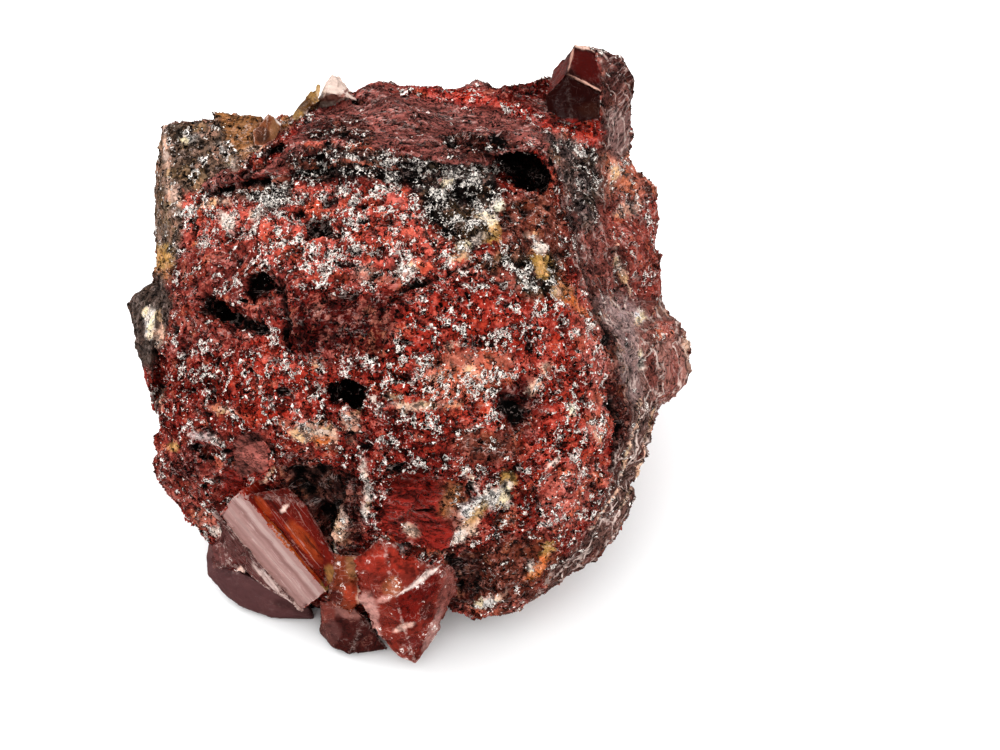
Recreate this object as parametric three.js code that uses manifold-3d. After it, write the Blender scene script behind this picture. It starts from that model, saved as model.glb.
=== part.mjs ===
// A lump of raw red calcite as it comes from the vein: one grown-together stone with a broad
// sugary broken face, a weathered cap with a ledge and vugs below it, cleavage blocks with flat
// faces standing out of its edges, and a flat broken foot that it rests on.
// Millimetres, +Z up, the broad broken face towards -Y and tilted up. The origin is on the
// ground, under the middle of the stone.

import * as THREE from "three";
import { ConvexGeometry } from "three/addons/geometries/ConvexGeometry.js";
import { ConvexHull } from "three/addons/math/ConvexHull.js";
import { mergeVertices } from "three/addons/utils/BufferGeometryUtils.js";
import Module from "manifold-3d";

// ---- Driving dimensions ----

const faceTilt = THREE.MathUtils.degToRad(45); // how far the broad face leans back from upright
const middleHeight = 50; // height of the drawing plane's origin above the ground
const eye = { a: 25, b: -3.75, distance: 347.2 }; // viewpoint that the landmarks are sighted from
const heart = new THREE.Vector3(0, 5, 48); // every surface landmark can be seen from here

const faceEdge = 6.1; // longest edge of the crust's triangles on the broad face
const backEdge = 9; // and on the back and the underside
const breakSize = 15; // spacing of the broken facets of the crust
const breakTilt = 0.24; // how steeply a facet leans, as a slope
const breakStep = 0.5; // how far a facet stands out or back
const knobSize = 8; // spacing of the small knobs on the facets
const knobHeight = 0.6;
const hollowRagged = 0.78; // least distance from a hollow's middle to its inside, of the usual one

// ---- Places ----

const right = new THREE.Vector3(1, 0, 0);
const up = new THREE.Vector3(0, Math.sin(faceTilt), Math.cos(faceTilt));
const out = new THREE.Vector3(0, -Math.cos(faceTilt), Math.sin(faceTilt));

// A landmark sighted on the drawing plane at a to the right and b up it, standing w in front of
// the plane. Nearer points are sighted wider, so a and b shrink with w.
function sighted([a, b, w]) {
  const spread = 1 - w / eye.distance;
  return new THREE.Vector3(0, 0, middleHeight)
    .addScaledVector(right, eye.a + (a - eye.a) * spread)
    .addScaledVector(up, eye.b + (b - eye.b) * spread)
    .addScaledVector(out, w);
}

const standing = ([x, y, z]) => new THREE.Vector3(x, y, z);

// The broad broken face, in rows from the ledge down, each row from left to right.
const brokenFace = [
  // under the ledge
  [-45, 37, 13], [-35, 42, 22], [-25, 43, 26], [-12.5, 42, 29.5], [2.5, 40, 33],
  [15, 37.5, 35], [26, 35.5, 33], [37, 36, 26],
  // upper slope
  [-54, 27, 10], [-41, 27.5, 25], [-29, 30, 33], [-14, 32, 38], [0, 29, 42],
  [14, 26, 43], [28, 24.5, 38], [40, 25, 28],
  // brow
  [-59, 15, 6], [-50, 7.5, 20], [-37.5, 8, 32], [-25, 12.5, 41], [-10, 15, 46],
  [5, 15, 48], [20, 16, 46], [34, 15, 38], [46, 12.5, 26], [53, 5, 17],
  // belly
  [-60, -10, 4], [-51, -10, 19], [-39, -7.5, 32], [-25, -6, 41], [-10, -5, 47],
  [6, -4, 51], [22.5, -4, 48], [37.5, -5, 40], [50, -8, 27], [57, -12, 13],
  // below the belly
  [-59, -27, 2], [-50, -26, 17], [-37.5, -22.5, 29], [-22.5, -21, 37], [-7.5, -21, 43],
  [7.5, -20, 47], [25, -20, 45], [39, -21, 36], [51, -24, 21],
  // lower slope
  [-51, -37.5, 4], [-40, -29, 19], [-27, -33, 24], [-15, -35, 31], [0, -34, 39],
  [12.5, -35, 39], [27.5, -35, 34], [40, -35, 26], [51, -36, 14],
  // foot of the face
  [-45, -45, 0], [-30, -46, 5], [-17, -50, 15], [-7.5, -50, 21], [7.5, -47.5, 29],
  [20, -50, 23], [32.5, -49, 19], [44, -46, 13],
  [-17, -60, 2], [3, -60, 6], [13.5, -62.5, 8], [20, -63.3, 6], [27.5, -62.3, 6], [36, -59.3, 5],
  [47.5, -54.5, 4.5], [55, -42.5, 3], [59, -35.5, 2], [59.5, -26, 1], [61.5, -17, -2],
];

// The weathered cap: the ledge's lip, then the slope that falls away behind it.
const cap = [
  [-47, 43, 9], [-38, 48, 18], [-28, 51.5, 25], [-18, 53, 28], [-7.5, 52, 30], [2.5, 51.5, 31],
  [12.5, 51, 31], [21, 51.5, 29], [29, 53.5, 25], [37, 55.5, 18],
  [-40, 51, 6], [-27.5, 58.5, 1], [-15, 61.5, 5], [0, 60, 11], [15, 58.8, 11], [30, 58.5, 7],
  [-11, 66, -7], [5, 67.8, -12], [19, 68.2, -11], [31, 71.5, -8],
  // the rise that carries the horn
  [42, 60, 5], [38, 66.5, -6], [50, 63, -3], [44, 69, -12], [54, 66, -14],
];

// The steep flank on the right: the groove beside the broken face, then the wing's crest.
const flank = [
  [43.5, 52, 4], [47, 40, 2], [50, 27.5, 5], [55, 14, 7],
  [56.5, 55, -8], [57, 47, -7], [63.2, 43, -12], [64.4, 35, -14], [62.3, 29, -14], [62.5, 20, -13],
  [60, 22.5, -5], [64, 10, -4], [66, 11.5, -9], [71.2, 9, -11], [74.5, 4, -12], [72, -3, -11],
  [68.5, 2.5, -4], [66, -8, -3], [67, -10, -7], [62.5, -14, -6],
];

// The left side, behind the cleavage blocks.
const leftSide = [
  [-56, 40, -4], [-49, 51, -10], [-60, 28, -14], [-61, 4, -7], [-61, -14, -6],
  [-61, -25, -6], [-59, -31, -5], [-55, -36, -5], [-47.5, -43, -6], [-45.5, -49, -8],
  [-30, 61, -14],
];

// The back, the hidden ends and the flat foot, as x, y, z above the ground.
const back = [
  [-52, 58, 66], [-34, 66, 72], [-12, 66, 80], [8, 68, 82], [28, 70, 78], [46, 70, 74],
  [58, 62, 66], [-62, 44, 52], [-46, 64, 48], [-22, 72, 58], [2, 70, 54], [24, 76, 52],
  [44, 71, 46], [62, 50, 44], [-58, 34, 30], [-44, 56, 26], [-24, 66, 32], [0, 62, 28],
  [22, 67, 26], [42, 60, 24], [60, 36, 28], [67, 12, 28], [-50, 22, 12], [-36, 44, 8],
  [-14, 56, 8], [10, 56, 6], [32, 50, 8], [52, 28, 13], [58, 4, 15], [-52, -4, 14],
  [-42, -18, 5], [46, -20, 13], [30, -34, 8], [-30, -34, -3],
];
const foot = [
  [-34, 24, -4], [-16, 40, -4], [10, 42, -4], [30, 28, -4], [36, 4, -2], [24, -16, -3],
  [4, -34, -3], [-14, -46, -4], [-32, -18, -4], [-2, 2, -5],
];

// Cleavage rhombs: a corner, the ends of the three edges that meet in it, and points that carry
// the crystal down into the stone.
const rhombs = [
  // the horn at the top right
  { corner: [41.8, 72, 7], edges: [[50.3, 67, 3], [36.2, 65.5, 2], [43.6, 79, -2]],
    roots: [[40, 58, -16], [52, 60, -16], [48, 68, -22]] },
  // the grey block at the top left, and the smaller one on its shoulder
  { corner: [-59.5, 59, -3], edges: [[-36.2, 61, 3], [-56, 24.5, 8], [-59, 57, -24]],
    roots: [[-61.5, 42, -10], [-61.5, 30, -8], [-60.8, 20, -6]] },
  { corner: [-47, 62.3, -1], edges: [[-34.5, 61, 1], [-42, 48.5, 8], [-46.5, 61.5, -9]],
    roots: [] },
  // the long prism at the foot of the broad face
  { corner: [-18.5, -58, 15], edges: [[-40, -32.5, 25], [-25, -63, 2], [-13, -53.7, 6]],
    roots: [[-30, -52, -10]] },
  // rhombs that stand out of the back and the far sides
  { corner: [-30, 30, -62], edges: [[-8, 36, -66], [-36, 8, -60], [-22, 36, -44]], roots: [] },
  { corner: [40, 34, -52], edges: [[58, 30, -38], [36, 8, -56], [34, 42, -38]], roots: [] },
];

// Other crystals, each the hull of its own corners.
const crystals = [
  // the grey shoulder under the horn
  [[46.8, 78.8, -3], [50.5, 77.8, -3], [55.5, 76.5, -6], [58.8, 71, -8], [58.2, 63.5, -9], [50, 66, 2], [49.5, 60, 1],
    [57.5, 53, -9], [50, 51, 1], [44, 56, 3], [52, 72, -20], [55, 58, -24]],
  // clear rhombs on the skyline
  [[-33, 61.8, -8], [-29, 59, -7], [-37, 53.2, 2], [-30.8, 54.8, 5], [-34.5, 58.8, 0],
    [-35, 50, -18], [-26, 54, -18]],
  [[-17, 71.8, -12], [-15.5, 71.5, -16], [-9.5, 64.5, -8], [-12.5, 65.5, -2], [-18.5, 67, -4],
    [-19, 69.5, -10], [-18, 58, -28], [-8, 60, -28], [-24, 58, -26]],
  [[-20, 69.2, -12], [-24.2, 65.8, -12], [-27.5, 60, -8], [-20.5, 65.5, -3], [-25, 60.5, -1],
    [-22, 56, -24], [-30, 54, -20]],
  // the small crystal that points out to the left
  [[-68.5, 14, -8], [-66.5, 16.8, -6], [-61, 20.5, -6], [-60, 15, 3], [-62, 3.8, 3],
    [-64.2, 3.8, -6], [-67, 10, -4], [-62.5, -7.5, 1], [-63.2, -7, -6], [-61.2, -13.8, -2],
    [-60, 12, -17], [-58, -6, -14]],
  // the smooth dark block under the prism
  [[-48.8, -53.8, -7], [-47, -51.5, -4], [-40, -53.2, 4], [-34.5, -56, 5], [-22, -62.5, 3],
    [-20.8, -65.2, -4.5], [-32.5, -65, -4.5], [-39.8, -62.5, -6], [-43.8, -59.8, -7],
    [-48.8, -44, -8], [-36, -56, -14], [-24, -58, -12], [-42, -44, -16]],
  // the dark knob at the front of the foot
  [[-20.5, -60, 8], [-20.5, -68.5, 0], [-17.2, -72.5, 3.5], [-12.5, -74.5, 4.5],
    [-7.8, -72.8, 4], [-2.5, -72.8, 3], [-5, -70, 7], [-8.8, -63.8, 13], [-15, -58.8, 13], [-15, -66, -12],
    [-8, -68, -10]],
  // the big translucent crystal beside it
  [[-12, -50, 22], [-5, -44, 28], [10, -49, 25], [14.5, -53, 19], [15, -57.5, 13],
    [10.2, -64.5, 8], [9.2, -69, 7], [3.8, -76.2, 8], [-0.5, -74, 7], [-7.5, -67, 11],
    [-10.8, -59.5, 16], [-1.2, -60, 24], [8, -52, 26], [0, -60, -6]],
  // flat patches on the lower part of the broad face
  [[-4.5, -36, 43], [0, -31.5, 45], [7, -29.2, 46], [4.2, -36.5, 45], [1, -41.8, 41],
    [-2.5, -43, 39], [2, -36, 30]],
  [[-42, -23, 29], [-39, -20, 31], [-34, -20, 33.5], [-31, -26, 31], [-35, -29, 28],
    [-37, -25, 20]],
];

// Vugs and broken-out hollows: where the mouth is, how wide and high it is, how deep, and how
// far it is turned.
const hollows = [
  // the cave under the ledge, the slot beside it and the long recess that carries on from them
  { at: [29, 47.5, 26], size: [19, 10.5, 15], turn: -14 },
  { at: [19, 54, 27], size: [13, 2.6, 5], turn: -6 },
  { at: [2, 47, 32], size: [34, 7, 4.5], turn: -3 },
  { at: [-24, 47.5, 26], size: [24, 5, 4.5], turn: 8 },
  { at: [-42.5, 43.8, 14], size: [12, 3.4, 6], turn: 8 },
  { at: [-31, 52.5, 20], size: [6, 3.4, 5], turn: 28 },
  // vugs in the broad face
  { at: [-44, 12, 27], size: [10, 4.5, 8], turn: 4 },
  { at: [-36, 17.5, 34], size: [5, 6.5, 8], turn: 20 },
  { at: [-29, 4.5, 40], size: [2.8, 3.6, 6], turn: 0 },
  { at: [-21.8, 34.2, 36], size: [7, 5, 6], turn: -15 },
  { at: [-4, 34, 41], size: [10, 3.5, 4], turn: 10 },
  { at: [-13.8, -9, 46], size: [6.4, 5.4, 8], turn: -20 },
  { at: [-49, -22.8, 19], size: [4, 3, 5], turn: 10 },
  { at: [-52, -8, 18], size: [5, 3, 4], turn: 30 },
];

// ---- Roughness ----

// A repeatable number from 0 to 1 for a cell of space.
function cellValue(i, j, k) {
  let h = Math.imul(i, 374761393) ^ Math.imul(j, 668265263) ^ Math.imul(k, 1274126177);
  h = Math.imul(h ^ (h >>> 13), 1103515245);
  return ((h ^ (h >>> 16)) >>> 0) / 4294967295;
}

// The broken facets: each cell of space has a middle of its own, and its points stand on a plane
// that leans its own way.
function breakHeight(p) {
  const base = [p.x, p.y, p.z].map((t) => Math.floor(t / breakSize));
  let nearest = { distance: Infinity };
  for (let n = 0; n < 27; n++) {
    const cell = base.map((t, axis) => t + (Math.floor(n / 3 ** axis) % 3) - 1);
    const jitter = [0, 1, 2].map((axis) => cellValue(cell[0] + 57 * axis, cell[1], cell[2]));
    const middle = new THREE.Vector3(...cell.map((t, axis) => (t + jitter[axis]) * breakSize));
    const distance = middle.distanceTo(p);
    if (distance < nearest.distance) nearest = { distance, cell, middle };
  }
  const [i, j, k] = nearest.cell;
  const lean = [211, 307, 401].map((offset) => 2 * cellValue(i, j + offset, k) - 1);
  const away = p.clone().sub(nearest.middle);
  const slope = away.dot(new THREE.Vector3(...lean).multiplyScalar(breakTilt));
  return slope + breakStep * (2 * cellValue(i, j, k + 503) - 1);
}

// Smooth noise from -1 to 1 whose humps are about size apart.
function smoothNoise(p, size) {
  const [x, y, z] = [p.x / size, p.y / size, p.z / size];
  const [i, j, k] = [x, y, z].map(Math.floor);
  const [u, v, w] = [x - i, y - j, z - k].map((t) => t * t * (3 - 2 * t));
  const mix = THREE.MathUtils.lerp;
  const side = (n) =>
    mix(
      mix(cellValue(i, j, n), cellValue(i + 1, j, n), u),
      mix(cellValue(i, j + 1, n), cellValue(i + 1, j + 1, n), u),
      v,
    );
  return 2 * mix(side(k), side(k + 1), w) - 1;
}

// Broken facets with knobs on them that have sharp valleys between them.
function crustHeight(p) {
  const knobs = 1 - 2 * Math.abs(smoothNoise(p.clone().addScalar(91), knobSize));
  return breakHeight(p) + knobHeight * knobs;
}

// ---- Meshes ----

// The longest edge wanted around a point.
function longestEdge(p) {
  return p.clone().sub(heart).dot(out) > -12 && p.z > 8 ? faceEdge : backEdge;
}

// A triangle whose edges may have been split, as triangles: the corners between two middles are
// cut off, and what is left is a fan from a middle.
function pieces([i, j, k], [ij, jk, ki]) {
  const ring = [i, ij, j, jk, k, ki].filter((n) => n >= 0);
  const middles = [ij, jk, ki].filter((n) => n >= 0);
  const near = (n, step) => ring[(ring.indexOf(n) + step + ring.length) % ring.length];
  const corners = [i, j, k].filter((n) => [-1, 1].every((step) => middles.includes(near(n, step))));
  const cut = corners.map((n) => [near(n, -1), n, near(n, 1)]);
  const rest = ring.filter((n) => !corners.includes(n));
  const start = Math.max(0, rest.findIndex((n) => middles.includes(n)));
  const [first, ...others] = [...rest.slice(start), ...rest.slice(0, start)];
  return [...cut, ...others.slice(1).map((n, m) => [first, others[m], n])];
}

// Splits every edge that is too long near its middle, until none is.
function refined({ points, triangles }) {
  let fine = triangles;
  for (let before = 0; before < points.length; ) {
    before = points.length;
    const middles = new Map();
    const middle = (i, j) => {
      const [low, high] = [Math.min(i, j), Math.max(i, j)];
      const share = 0.4 + 0.2 * cellValue(low, high, 7);
      const centre = points[low].clone().lerp(points[high], share);
      if (points[low].distanceTo(points[high]) <= longestEdge(centre)) return -1;
      const key = low + "," + high;
      if (!middles.has(key)) middles.set(key, points.push(centre) - 1);
      return middles.get(key);
    };
    fine = fine.flatMap(([i, j, k]) =>
      pieces([i, j, k], [middle(i, j), middle(j, k), middle(k, i)]),
    );
  }
  return { points, triangles: fine };
}

// The same surface with one point where several triangles meet.
function welded(geometry) {
  const bare = geometry.clone();
  bare.deleteAttribute("normal");
  bare.deleteAttribute("uv");
  return mergeVertices(bare, 1e-4);
}

function geometryOf({ points, triangles }) {
  return new THREE.BufferGeometry().setFromPoints(points).setIndex(triangles.flat());
}

// The crust: the landmarks are joined by the triangles of the hull of their directions from the
// heart, the triangles are refined, and each point moves along its normal by the roughness.
function crust(landmarks) {
  const directions = landmarks.map((p) => p.clone().sub(heart).normalize());
  const index = new Map(directions.map((d, i) => [d, i]));
  const triangles = new ConvexHull().setFromPoints(directions).faces.map(({ edge }) =>
    [edge, edge.next, edge.next.next].map((e) => index.get(e.head().point)),
  );
  const geometry = geometryOf(refined({ points: landmarks.map((p) => p.clone()), triangles }));
  geometry.computeVertexNormals();
  const place = geometry.getAttribute("position");
  const normal = geometry.getAttribute("normal");
  const p = new THREE.Vector3();
  const n = new THREE.Vector3();
  for (let i = 0; i < place.count; i++) {
    p.fromBufferAttribute(place, i);
    n.fromBufferAttribute(normal, i);
    p.addScaledVector(n, crustHeight(p));
    place.setXYZ(i, p.x, p.y, p.z);
  }
  return geometry;
}

// A cleavage rhomb with flat faces in parallel pairs.
function rhomb({ corner, edges, roots }) {
  const start = sighted(corner);
  const along = edges.map((end) => sighted(end).sub(start));
  const corners = [start];
  for (const step of along) corners.push(...corners.map((p) => p.clone().add(step)));
  return new ConvexGeometry([...corners, ...roots.map(sighted)]);
}

const crystal = (corners) => new ConvexGeometry(corners.map(sighted));

// A hollow with a faceted inside and ragged edges, its length along the broad face.
function hollow({ at, size, turn }) {
  const inside = welded(new THREE.IcosahedronGeometry(1, 2));
  const place = inside.getAttribute("position");
  const p = new THREE.Vector3();
  for (let i = 0; i < place.count; i++) {
    p.fromBufferAttribute(place, i);
    const cell = p.clone().multiplyScalar(2).addScalar(at[0] + at[1]).round();
    p.multiplyScalar(hollowRagged + (1 - hollowRagged) * 2 * cellValue(cell.x, cell.y, cell.z));
    place.setXYZ(i, p.x, p.y, p.z);
  }
  const [width, height, depth] = size;
  const frame = new THREE.Matrix4().makeBasis(right, up, out);
  inside.scale(width / 2, height / 2, depth);
  inside.rotateZ(THREE.MathUtils.degToRad(turn));
  inside.applyMatrix4(frame);
  const middle = sighted(at);
  return inside.translate(middle.x, middle.y, middle.z);
}

const wasm = await Module();
wasm.setup();

function solid(geometry) {
  const { attributes, index } = welded(geometry);
  return new wasm.Manifold(
    new wasm.Mesh({
      numProp: 3,
      vertProperties: attributes.position.array,
      triVerts: new Uint32Array(index.array),
    }),
  );
}

function geometryFrom(manifold) {
  const { vertProperties, triVerts } = manifold.getMesh();
  return new THREE.BufferGeometry()
    .setAttribute("position", new THREE.BufferAttribute(new Float32Array(vertProperties), 3))
    .setIndex(new THREE.BufferAttribute(new Uint32Array(triVerts), 1));
}

// ---- The stone ----

function stone() {
  const seen = [...brokenFace, ...cap, ...flank, ...leftSide].map(sighted);
  const hidden = [...back, ...foot].map(standing);
  const grown = [crust([...seen, ...hidden]), ...rhombs.map(rhomb), ...crystals.map(crystal)];
  const whole = wasm.Manifold.union(grown.map(solid));
  const hollowed = whole.subtract(wasm.Manifold.union(hollows.map((h) => solid(hollow(h)))));
  const [flat] = hollowed
    .trimByPlane([0, 0, 1], 0)
    .decompose()
    .sort((one, other) => other.volume() - one.volume());
  const { min, max } = flat.boundingBox();
  return flat.translate([-(min[0] + max[0]) / 2, -(min[1] + max[1]) / 2, -min[2]]);
}

const calcite = new THREE.Mesh(
  geometryFrom(stone()),
  new THREE.MeshStandardMaterial({ color: 0x7a2a24, roughness: 0.45, metalness: 0 }),
);
calcite.name = "calcite_lump";

const model = new THREE.Group();
model.add(calcite);
export default model;
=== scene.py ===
import math

import bmesh
import bpy
import numpy as np
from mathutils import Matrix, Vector


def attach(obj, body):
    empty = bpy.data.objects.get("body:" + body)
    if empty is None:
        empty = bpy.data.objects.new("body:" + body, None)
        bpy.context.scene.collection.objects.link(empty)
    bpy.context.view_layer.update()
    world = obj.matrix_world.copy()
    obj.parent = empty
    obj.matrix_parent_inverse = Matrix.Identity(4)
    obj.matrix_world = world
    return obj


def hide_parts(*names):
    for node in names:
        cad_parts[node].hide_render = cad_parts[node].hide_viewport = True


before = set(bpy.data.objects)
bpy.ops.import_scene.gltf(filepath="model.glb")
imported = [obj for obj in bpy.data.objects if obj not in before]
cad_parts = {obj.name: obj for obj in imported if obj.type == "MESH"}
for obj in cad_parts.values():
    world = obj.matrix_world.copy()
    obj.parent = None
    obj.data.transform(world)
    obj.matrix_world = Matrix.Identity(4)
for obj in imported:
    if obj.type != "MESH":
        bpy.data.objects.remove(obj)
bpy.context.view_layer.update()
print("frame loaded")

# Places on the stone are given as sighted from the front, in millimetres: along and up a drawing
# plane that leans back, and how far in front of it. Nearer places are sighted wider.
sight = {
    "middle": (-2.553, -9.555, 50.0),  # the drawing plane's origin
    "tilt": 45.0,
    "eye": (25.0, -3.75),  # where the eye looks straight at the plane
    "distance": 347.2,
}
tilt = math.radians(sight["tilt"])
middle = np.array(sight["middle"])
right = np.array([1.0, 0.0, 0.0])
up = np.array([0.0, math.sin(tilt), math.cos(tilt)])
outward = np.array([0.0, -math.cos(tilt), math.sin(tilt)])


def placed(sightings):
    a, b, w = np.asarray(sightings, float).reshape(-1, 3).T
    spread = 1 - w / sight["distance"]
    a = sight["eye"][0] + (a - sight["eye"][0]) * spread
    b = sight["eye"][1] + (b - sight["eye"][1]) * spread
    return middle + np.outer(a, right) + np.outer(b, up) + np.outer(w, outward)


def sightedFrom(points):
    away = points - middle
    w = away @ outward
    spread = 1 - w / sight["distance"]
    a = sight["eye"][0] + (away @ right - sight["eye"][0]) / spread
    b = sight["eye"][1] + (away @ up - sight["eye"][1]) / spread
    return a, b, w


# Noise in space, worked out for all points at once
def cellNumber(cells, seed):
    n = cells[..., 0] * 374761393 + cells[..., 1] * 668265263 + cells[..., 2] * 1274126177
    n = (n + seed * 2246822519) & 0xFFFFFFFF
    n = ((n ^ (n >> 13)) * 1103515245) & 0xFFFFFFFF
    n = ((n ^ (n >> 16)) * 1597334677) & 0xFFFFFFFF
    return ((n ^ (n >> 15)) & 0xFFFFFF) / 0xFFFFFF


def smoothNoise(points, size, seed=0):
    at = points / size
    cell = np.floor(at).astype(np.int64)
    t = at - cell
    t = t * t * (3 - 2 * t)
    total = 0.0
    for corner in range(8):
        step = np.array([corner & 1, corner >> 1 & 1, corner >> 2])
        share = np.prod(np.where(step == 1, t, 1 - t), axis=1)
        total = total + share * cellNumber(cell + step, seed)
    return 2 * total - 1


def cloudNoise(points, size, seed=0, layers=3):
    total = sum(smoothNoise(points, size / 2**n, seed + 17 * n) / 2**n for n in range(layers))
    return total / sum(1 / 2**n for n in range(layers))


def brokenCells(points, size, seed=0):
    # gives the distance to the nearest cell's middle, to the border, the way from the middle and the cell
    at = points / size
    base = np.floor(at).astype(np.int64)
    near = np.full(len(at), 9.0)
    second = np.full(len(at), 9.0)
    away = np.zeros_like(at)
    nearCell = np.zeros_like(base)
    for n in range(27):
        cell = base + np.array([n % 3, n // 3 % 3, n // 9]) - 1
        jitter = np.stack([cellNumber(cell, seed + 5 * k) for k in range(3)], axis=1)
        offset = at - cell - 0.1 - 0.8 * jitter
        distance = np.linalg.norm(offset, axis=1)
        closer = distance < near
        second = np.where(closer, near, np.minimum(second, distance))
        near = np.where(closer, distance, near)
        away[closer] = offset[closer]
        nearCell[closer] = cell[closer]
    return near * size, (second - near) * size, away * size, nearCell


def facets(points, size, slope, seed=0):
    # height of flat facets that lean their own ways, as broken calcite has
    _, _, away, cell = brokenCells(points, size, seed)
    lean = np.stack([2 * cellNumber(cell, seed + 31 + k) - 1 for k in range(3)], axis=1)
    return slope * (away * lean).sum(1) + 0.25 * slope * size * (2 * cellNumber(cell, seed + 41) - 1)


def stepped(low, high, value):
    t = np.clip((value - low) / (high - low), 0, 1)
    return t * t * (3 - 2 * t)


# Crystals that stand out of the crust. A rhomb has a corner, the ends of the three edges that meet
# in it and points that carry it down into the stone; any other crystal is the hull of its corners.
rhombs = {
    "horn": {"corner": (41.8, 72, 7), "edges": ((50.3, 67, 3), (36.2, 65.5, 2), (43.6, 79, -2)),
             "roots": ((40, 58, -16), (52, 60, -16), (48, 68, -22))},
    "greyBlock": {"corner": (-59.5, 59, -3), "edges": ((-36.2, 61, 3), (-56, 24.5, 8), (-59, 57, -24)),
                  "roots": ((-61.5, 42, -10), (-61.5, 30, -8), (-60.8, 20, -6))},
    "greyStep": {"corner": (-47, 62.3, -1), "edges": ((-34.5, 61, 1), (-42, 48.5, 8), (-46.5, 61.5, -9)),
                 "roots": ()},
    "prism": {"corner": (-18.5, -58, 15), "edges": ((-40, -32.5, 25), (-25, -63, 2), (-13, -53.7, 6)),
              "roots": ((-30, -52, -10),)},
    "backLeft": {"corner": (-30, 30, -62), "edges": ((-8, 36, -66), (-36, 8, -60), (-22, 36, -44)),
                 "roots": ()},
    "backRight": {"corner": (40, 34, -52), "edges": ((58, 30, -38), (36, 8, -56), (34, 42, -38)),
                  "roots": ()},
}
crystals = {
    "shoulder": (
        (46.8, 78.8, -3), (50.5, 77.8, -3), (55.5, 76.5, -6), (58.8, 71, -8), (58.2, 63.5, -9),
        (50, 66, 2), (49.5, 60, 1), (57.5, 53, -9), (50, 51, 1), (44, 56, 3), (52, 72, -20),
        (55, 58, -24)),
    "clearSmall": (
        (-33, 61.8, -8), (-29, 59, -7), (-37, 53.2, 2), (-30.8, 54.8, 5), (-34.5, 58.8, 0),
        (-35, 50, -18), (-26, 54, -18)),
    "clearTop": (
        (-17, 71.8, -12), (-15.5, 71.5, -16), (-9.5, 64.5, -8), (-12.5, 65.5, -2), (-18.5, 67, -4),
        (-19, 69.5, -10), (-18, 58, -28), (-8, 60, -28), (-24, 58, -26)),
    "clearGold": (
        (-20, 69.2, -12), (-24.2, 65.8, -12), (-27.5, 60, -8), (-20.5, 65.5, -3), (-25, 60.5, -1),
        (-22, 56, -24), (-30, 54, -20)),
    "leftCrystal": (
        (-68.5, 14, -8), (-66.5, 16.8, -6), (-61, 20.5, -6), (-60, 15, 3), (-62, 3.8, 3),
        (-64.2, 3.8, -6), (-67, 10, -4), (-62.5, -7.5, 1), (-63.2, -7, -6), (-61.2, -13.8, -2),
        (-60, 12, -17), (-58, -6, -14)),
    "darkBlock": (
        (-48.8, -53.8, -7), (-47, -51.5, -4), (-40, -53.2, 4), (-34.5, -56, 5), (-22, -62.5, 3),
        (-20.8, -65.2, -4.5), (-32.5, -65, -4.5), (-39.8, -62.5, -6), (-43.8, -59.8, -7),
        (-48.8, -44, -8), (-36, -56, -14), (-24, -58, -12), (-42, -44, -16)),
    "knob": (
        (-20.5, -60, 8), (-20.5, -68.5, 0), (-17.2, -72.5, 3.5), (-12.5, -74.5, 4.5), (-7.8, -72.8, 4),
        (-2.5, -72.8, 3), (-5, -70, 7), (-8.8, -63.8, 13), (-15, -58.8, 13), (-15, -66, -12),
        (-8, -68, -10)),
    "bottomCrystal": (
        (-12, -50, 22), (-5, -44, 28), (10, -49, 25), (14.5, -53, 19), (15, -57.5, 13),
        (10.2, -64.5, 8), (9.2, -69, 7), (3.8, -76.2, 8), (-0.5, -74, 7), (-7.5, -67, 11),
        (-10.8, -59.5, 16), (-1.2, -60, 24), (8, -52, 26), (0, -60, -6)),
    "flatPatch": (
        (-4.5, -36, 43), (0, -31.5, 45), (7, -29.2, 46), (4.2, -36.5, 45), (1, -41.8, 41),
        (-2.5, -43, 39), (2, -36, 30)),
    "smallPatch": (
        (-42, -23, 29), (-39, -20, 31), (-34, -20, 33.5), (-31, -26, 31), (-35, -29, 28), (-37, -25, 20)),
}
glassy = ("horn", "prism", "bottomCrystal", "clearSmall", "clearTop", "clearGold")
polished = ("darkBlock", "knob", "flatPatch", "smallPatch")


def rhombCorners(corner, edges, roots):
    start = placed(corner)
    corners = start
    for step in placed(edges) - start:
        corners = np.vstack([corners, corners + step])
    return np.vstack([corners, placed(roots)]) if roots else corners


corners = {name: rhombCorners(**rhomb) for name, rhomb in rhombs.items()}
corners.update({name: placed(points) for name, points in crystals.items()})
hornTop = placed(((46.8, 78.6, -3), (50, 77.4, -4)))  # its top runs on into the shoulder


def hull(points):
    mesh = bmesh.new()
    for p in points:
        mesh.verts.new(p)
    found = bmesh.ops.convex_hull(mesh, input=mesh.verts)
    inside = {v for v in found["geom_interior"] + found["geom_unused"] if isinstance(v, bmesh.types.BMVert)}
    bmesh.ops.delete(mesh, geom=list(inside), context="VERTS")
    bmesh.ops.triangulate(mesh, faces=mesh.faces)
    bmesh.ops.recalc_face_normals(mesh, faces=mesh.faces)
    mesh.verts.index_update()
    points = np.array([v.co for v in mesh.verts])
    faces = np.array([[v.index for v in f.verts] for f in mesh.faces])
    mesh.free()
    return points, faces


def faceNormals(points, faces):
    normal = np.cross(points[faces[:, 1]] - points[faces[:, 0]], points[faces[:, 2]] - points[faces[:, 0]])
    area = np.linalg.norm(normal, axis=1, keepdims=True)
    return normal / np.maximum(area, 1e-12), area[:, 0] / 2


def pointNormals(points, faces):
    normal, area = faceNormals(points, faces)
    corner = faces.reshape(-1)
    weighted = np.repeat(normal * area[:, None], 3, axis=0)
    total = np.column_stack([np.bincount(corner, weighted[:, k], len(points)) for k in range(3)])
    return total / np.maximum(np.linalg.norm(total, axis=1, keepdims=True), 1e-12)


hulls = {name: hull(points) for name, points in corners.items()}
hornHull = hull(np.vstack([corners["horn"], hornTop]))


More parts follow.
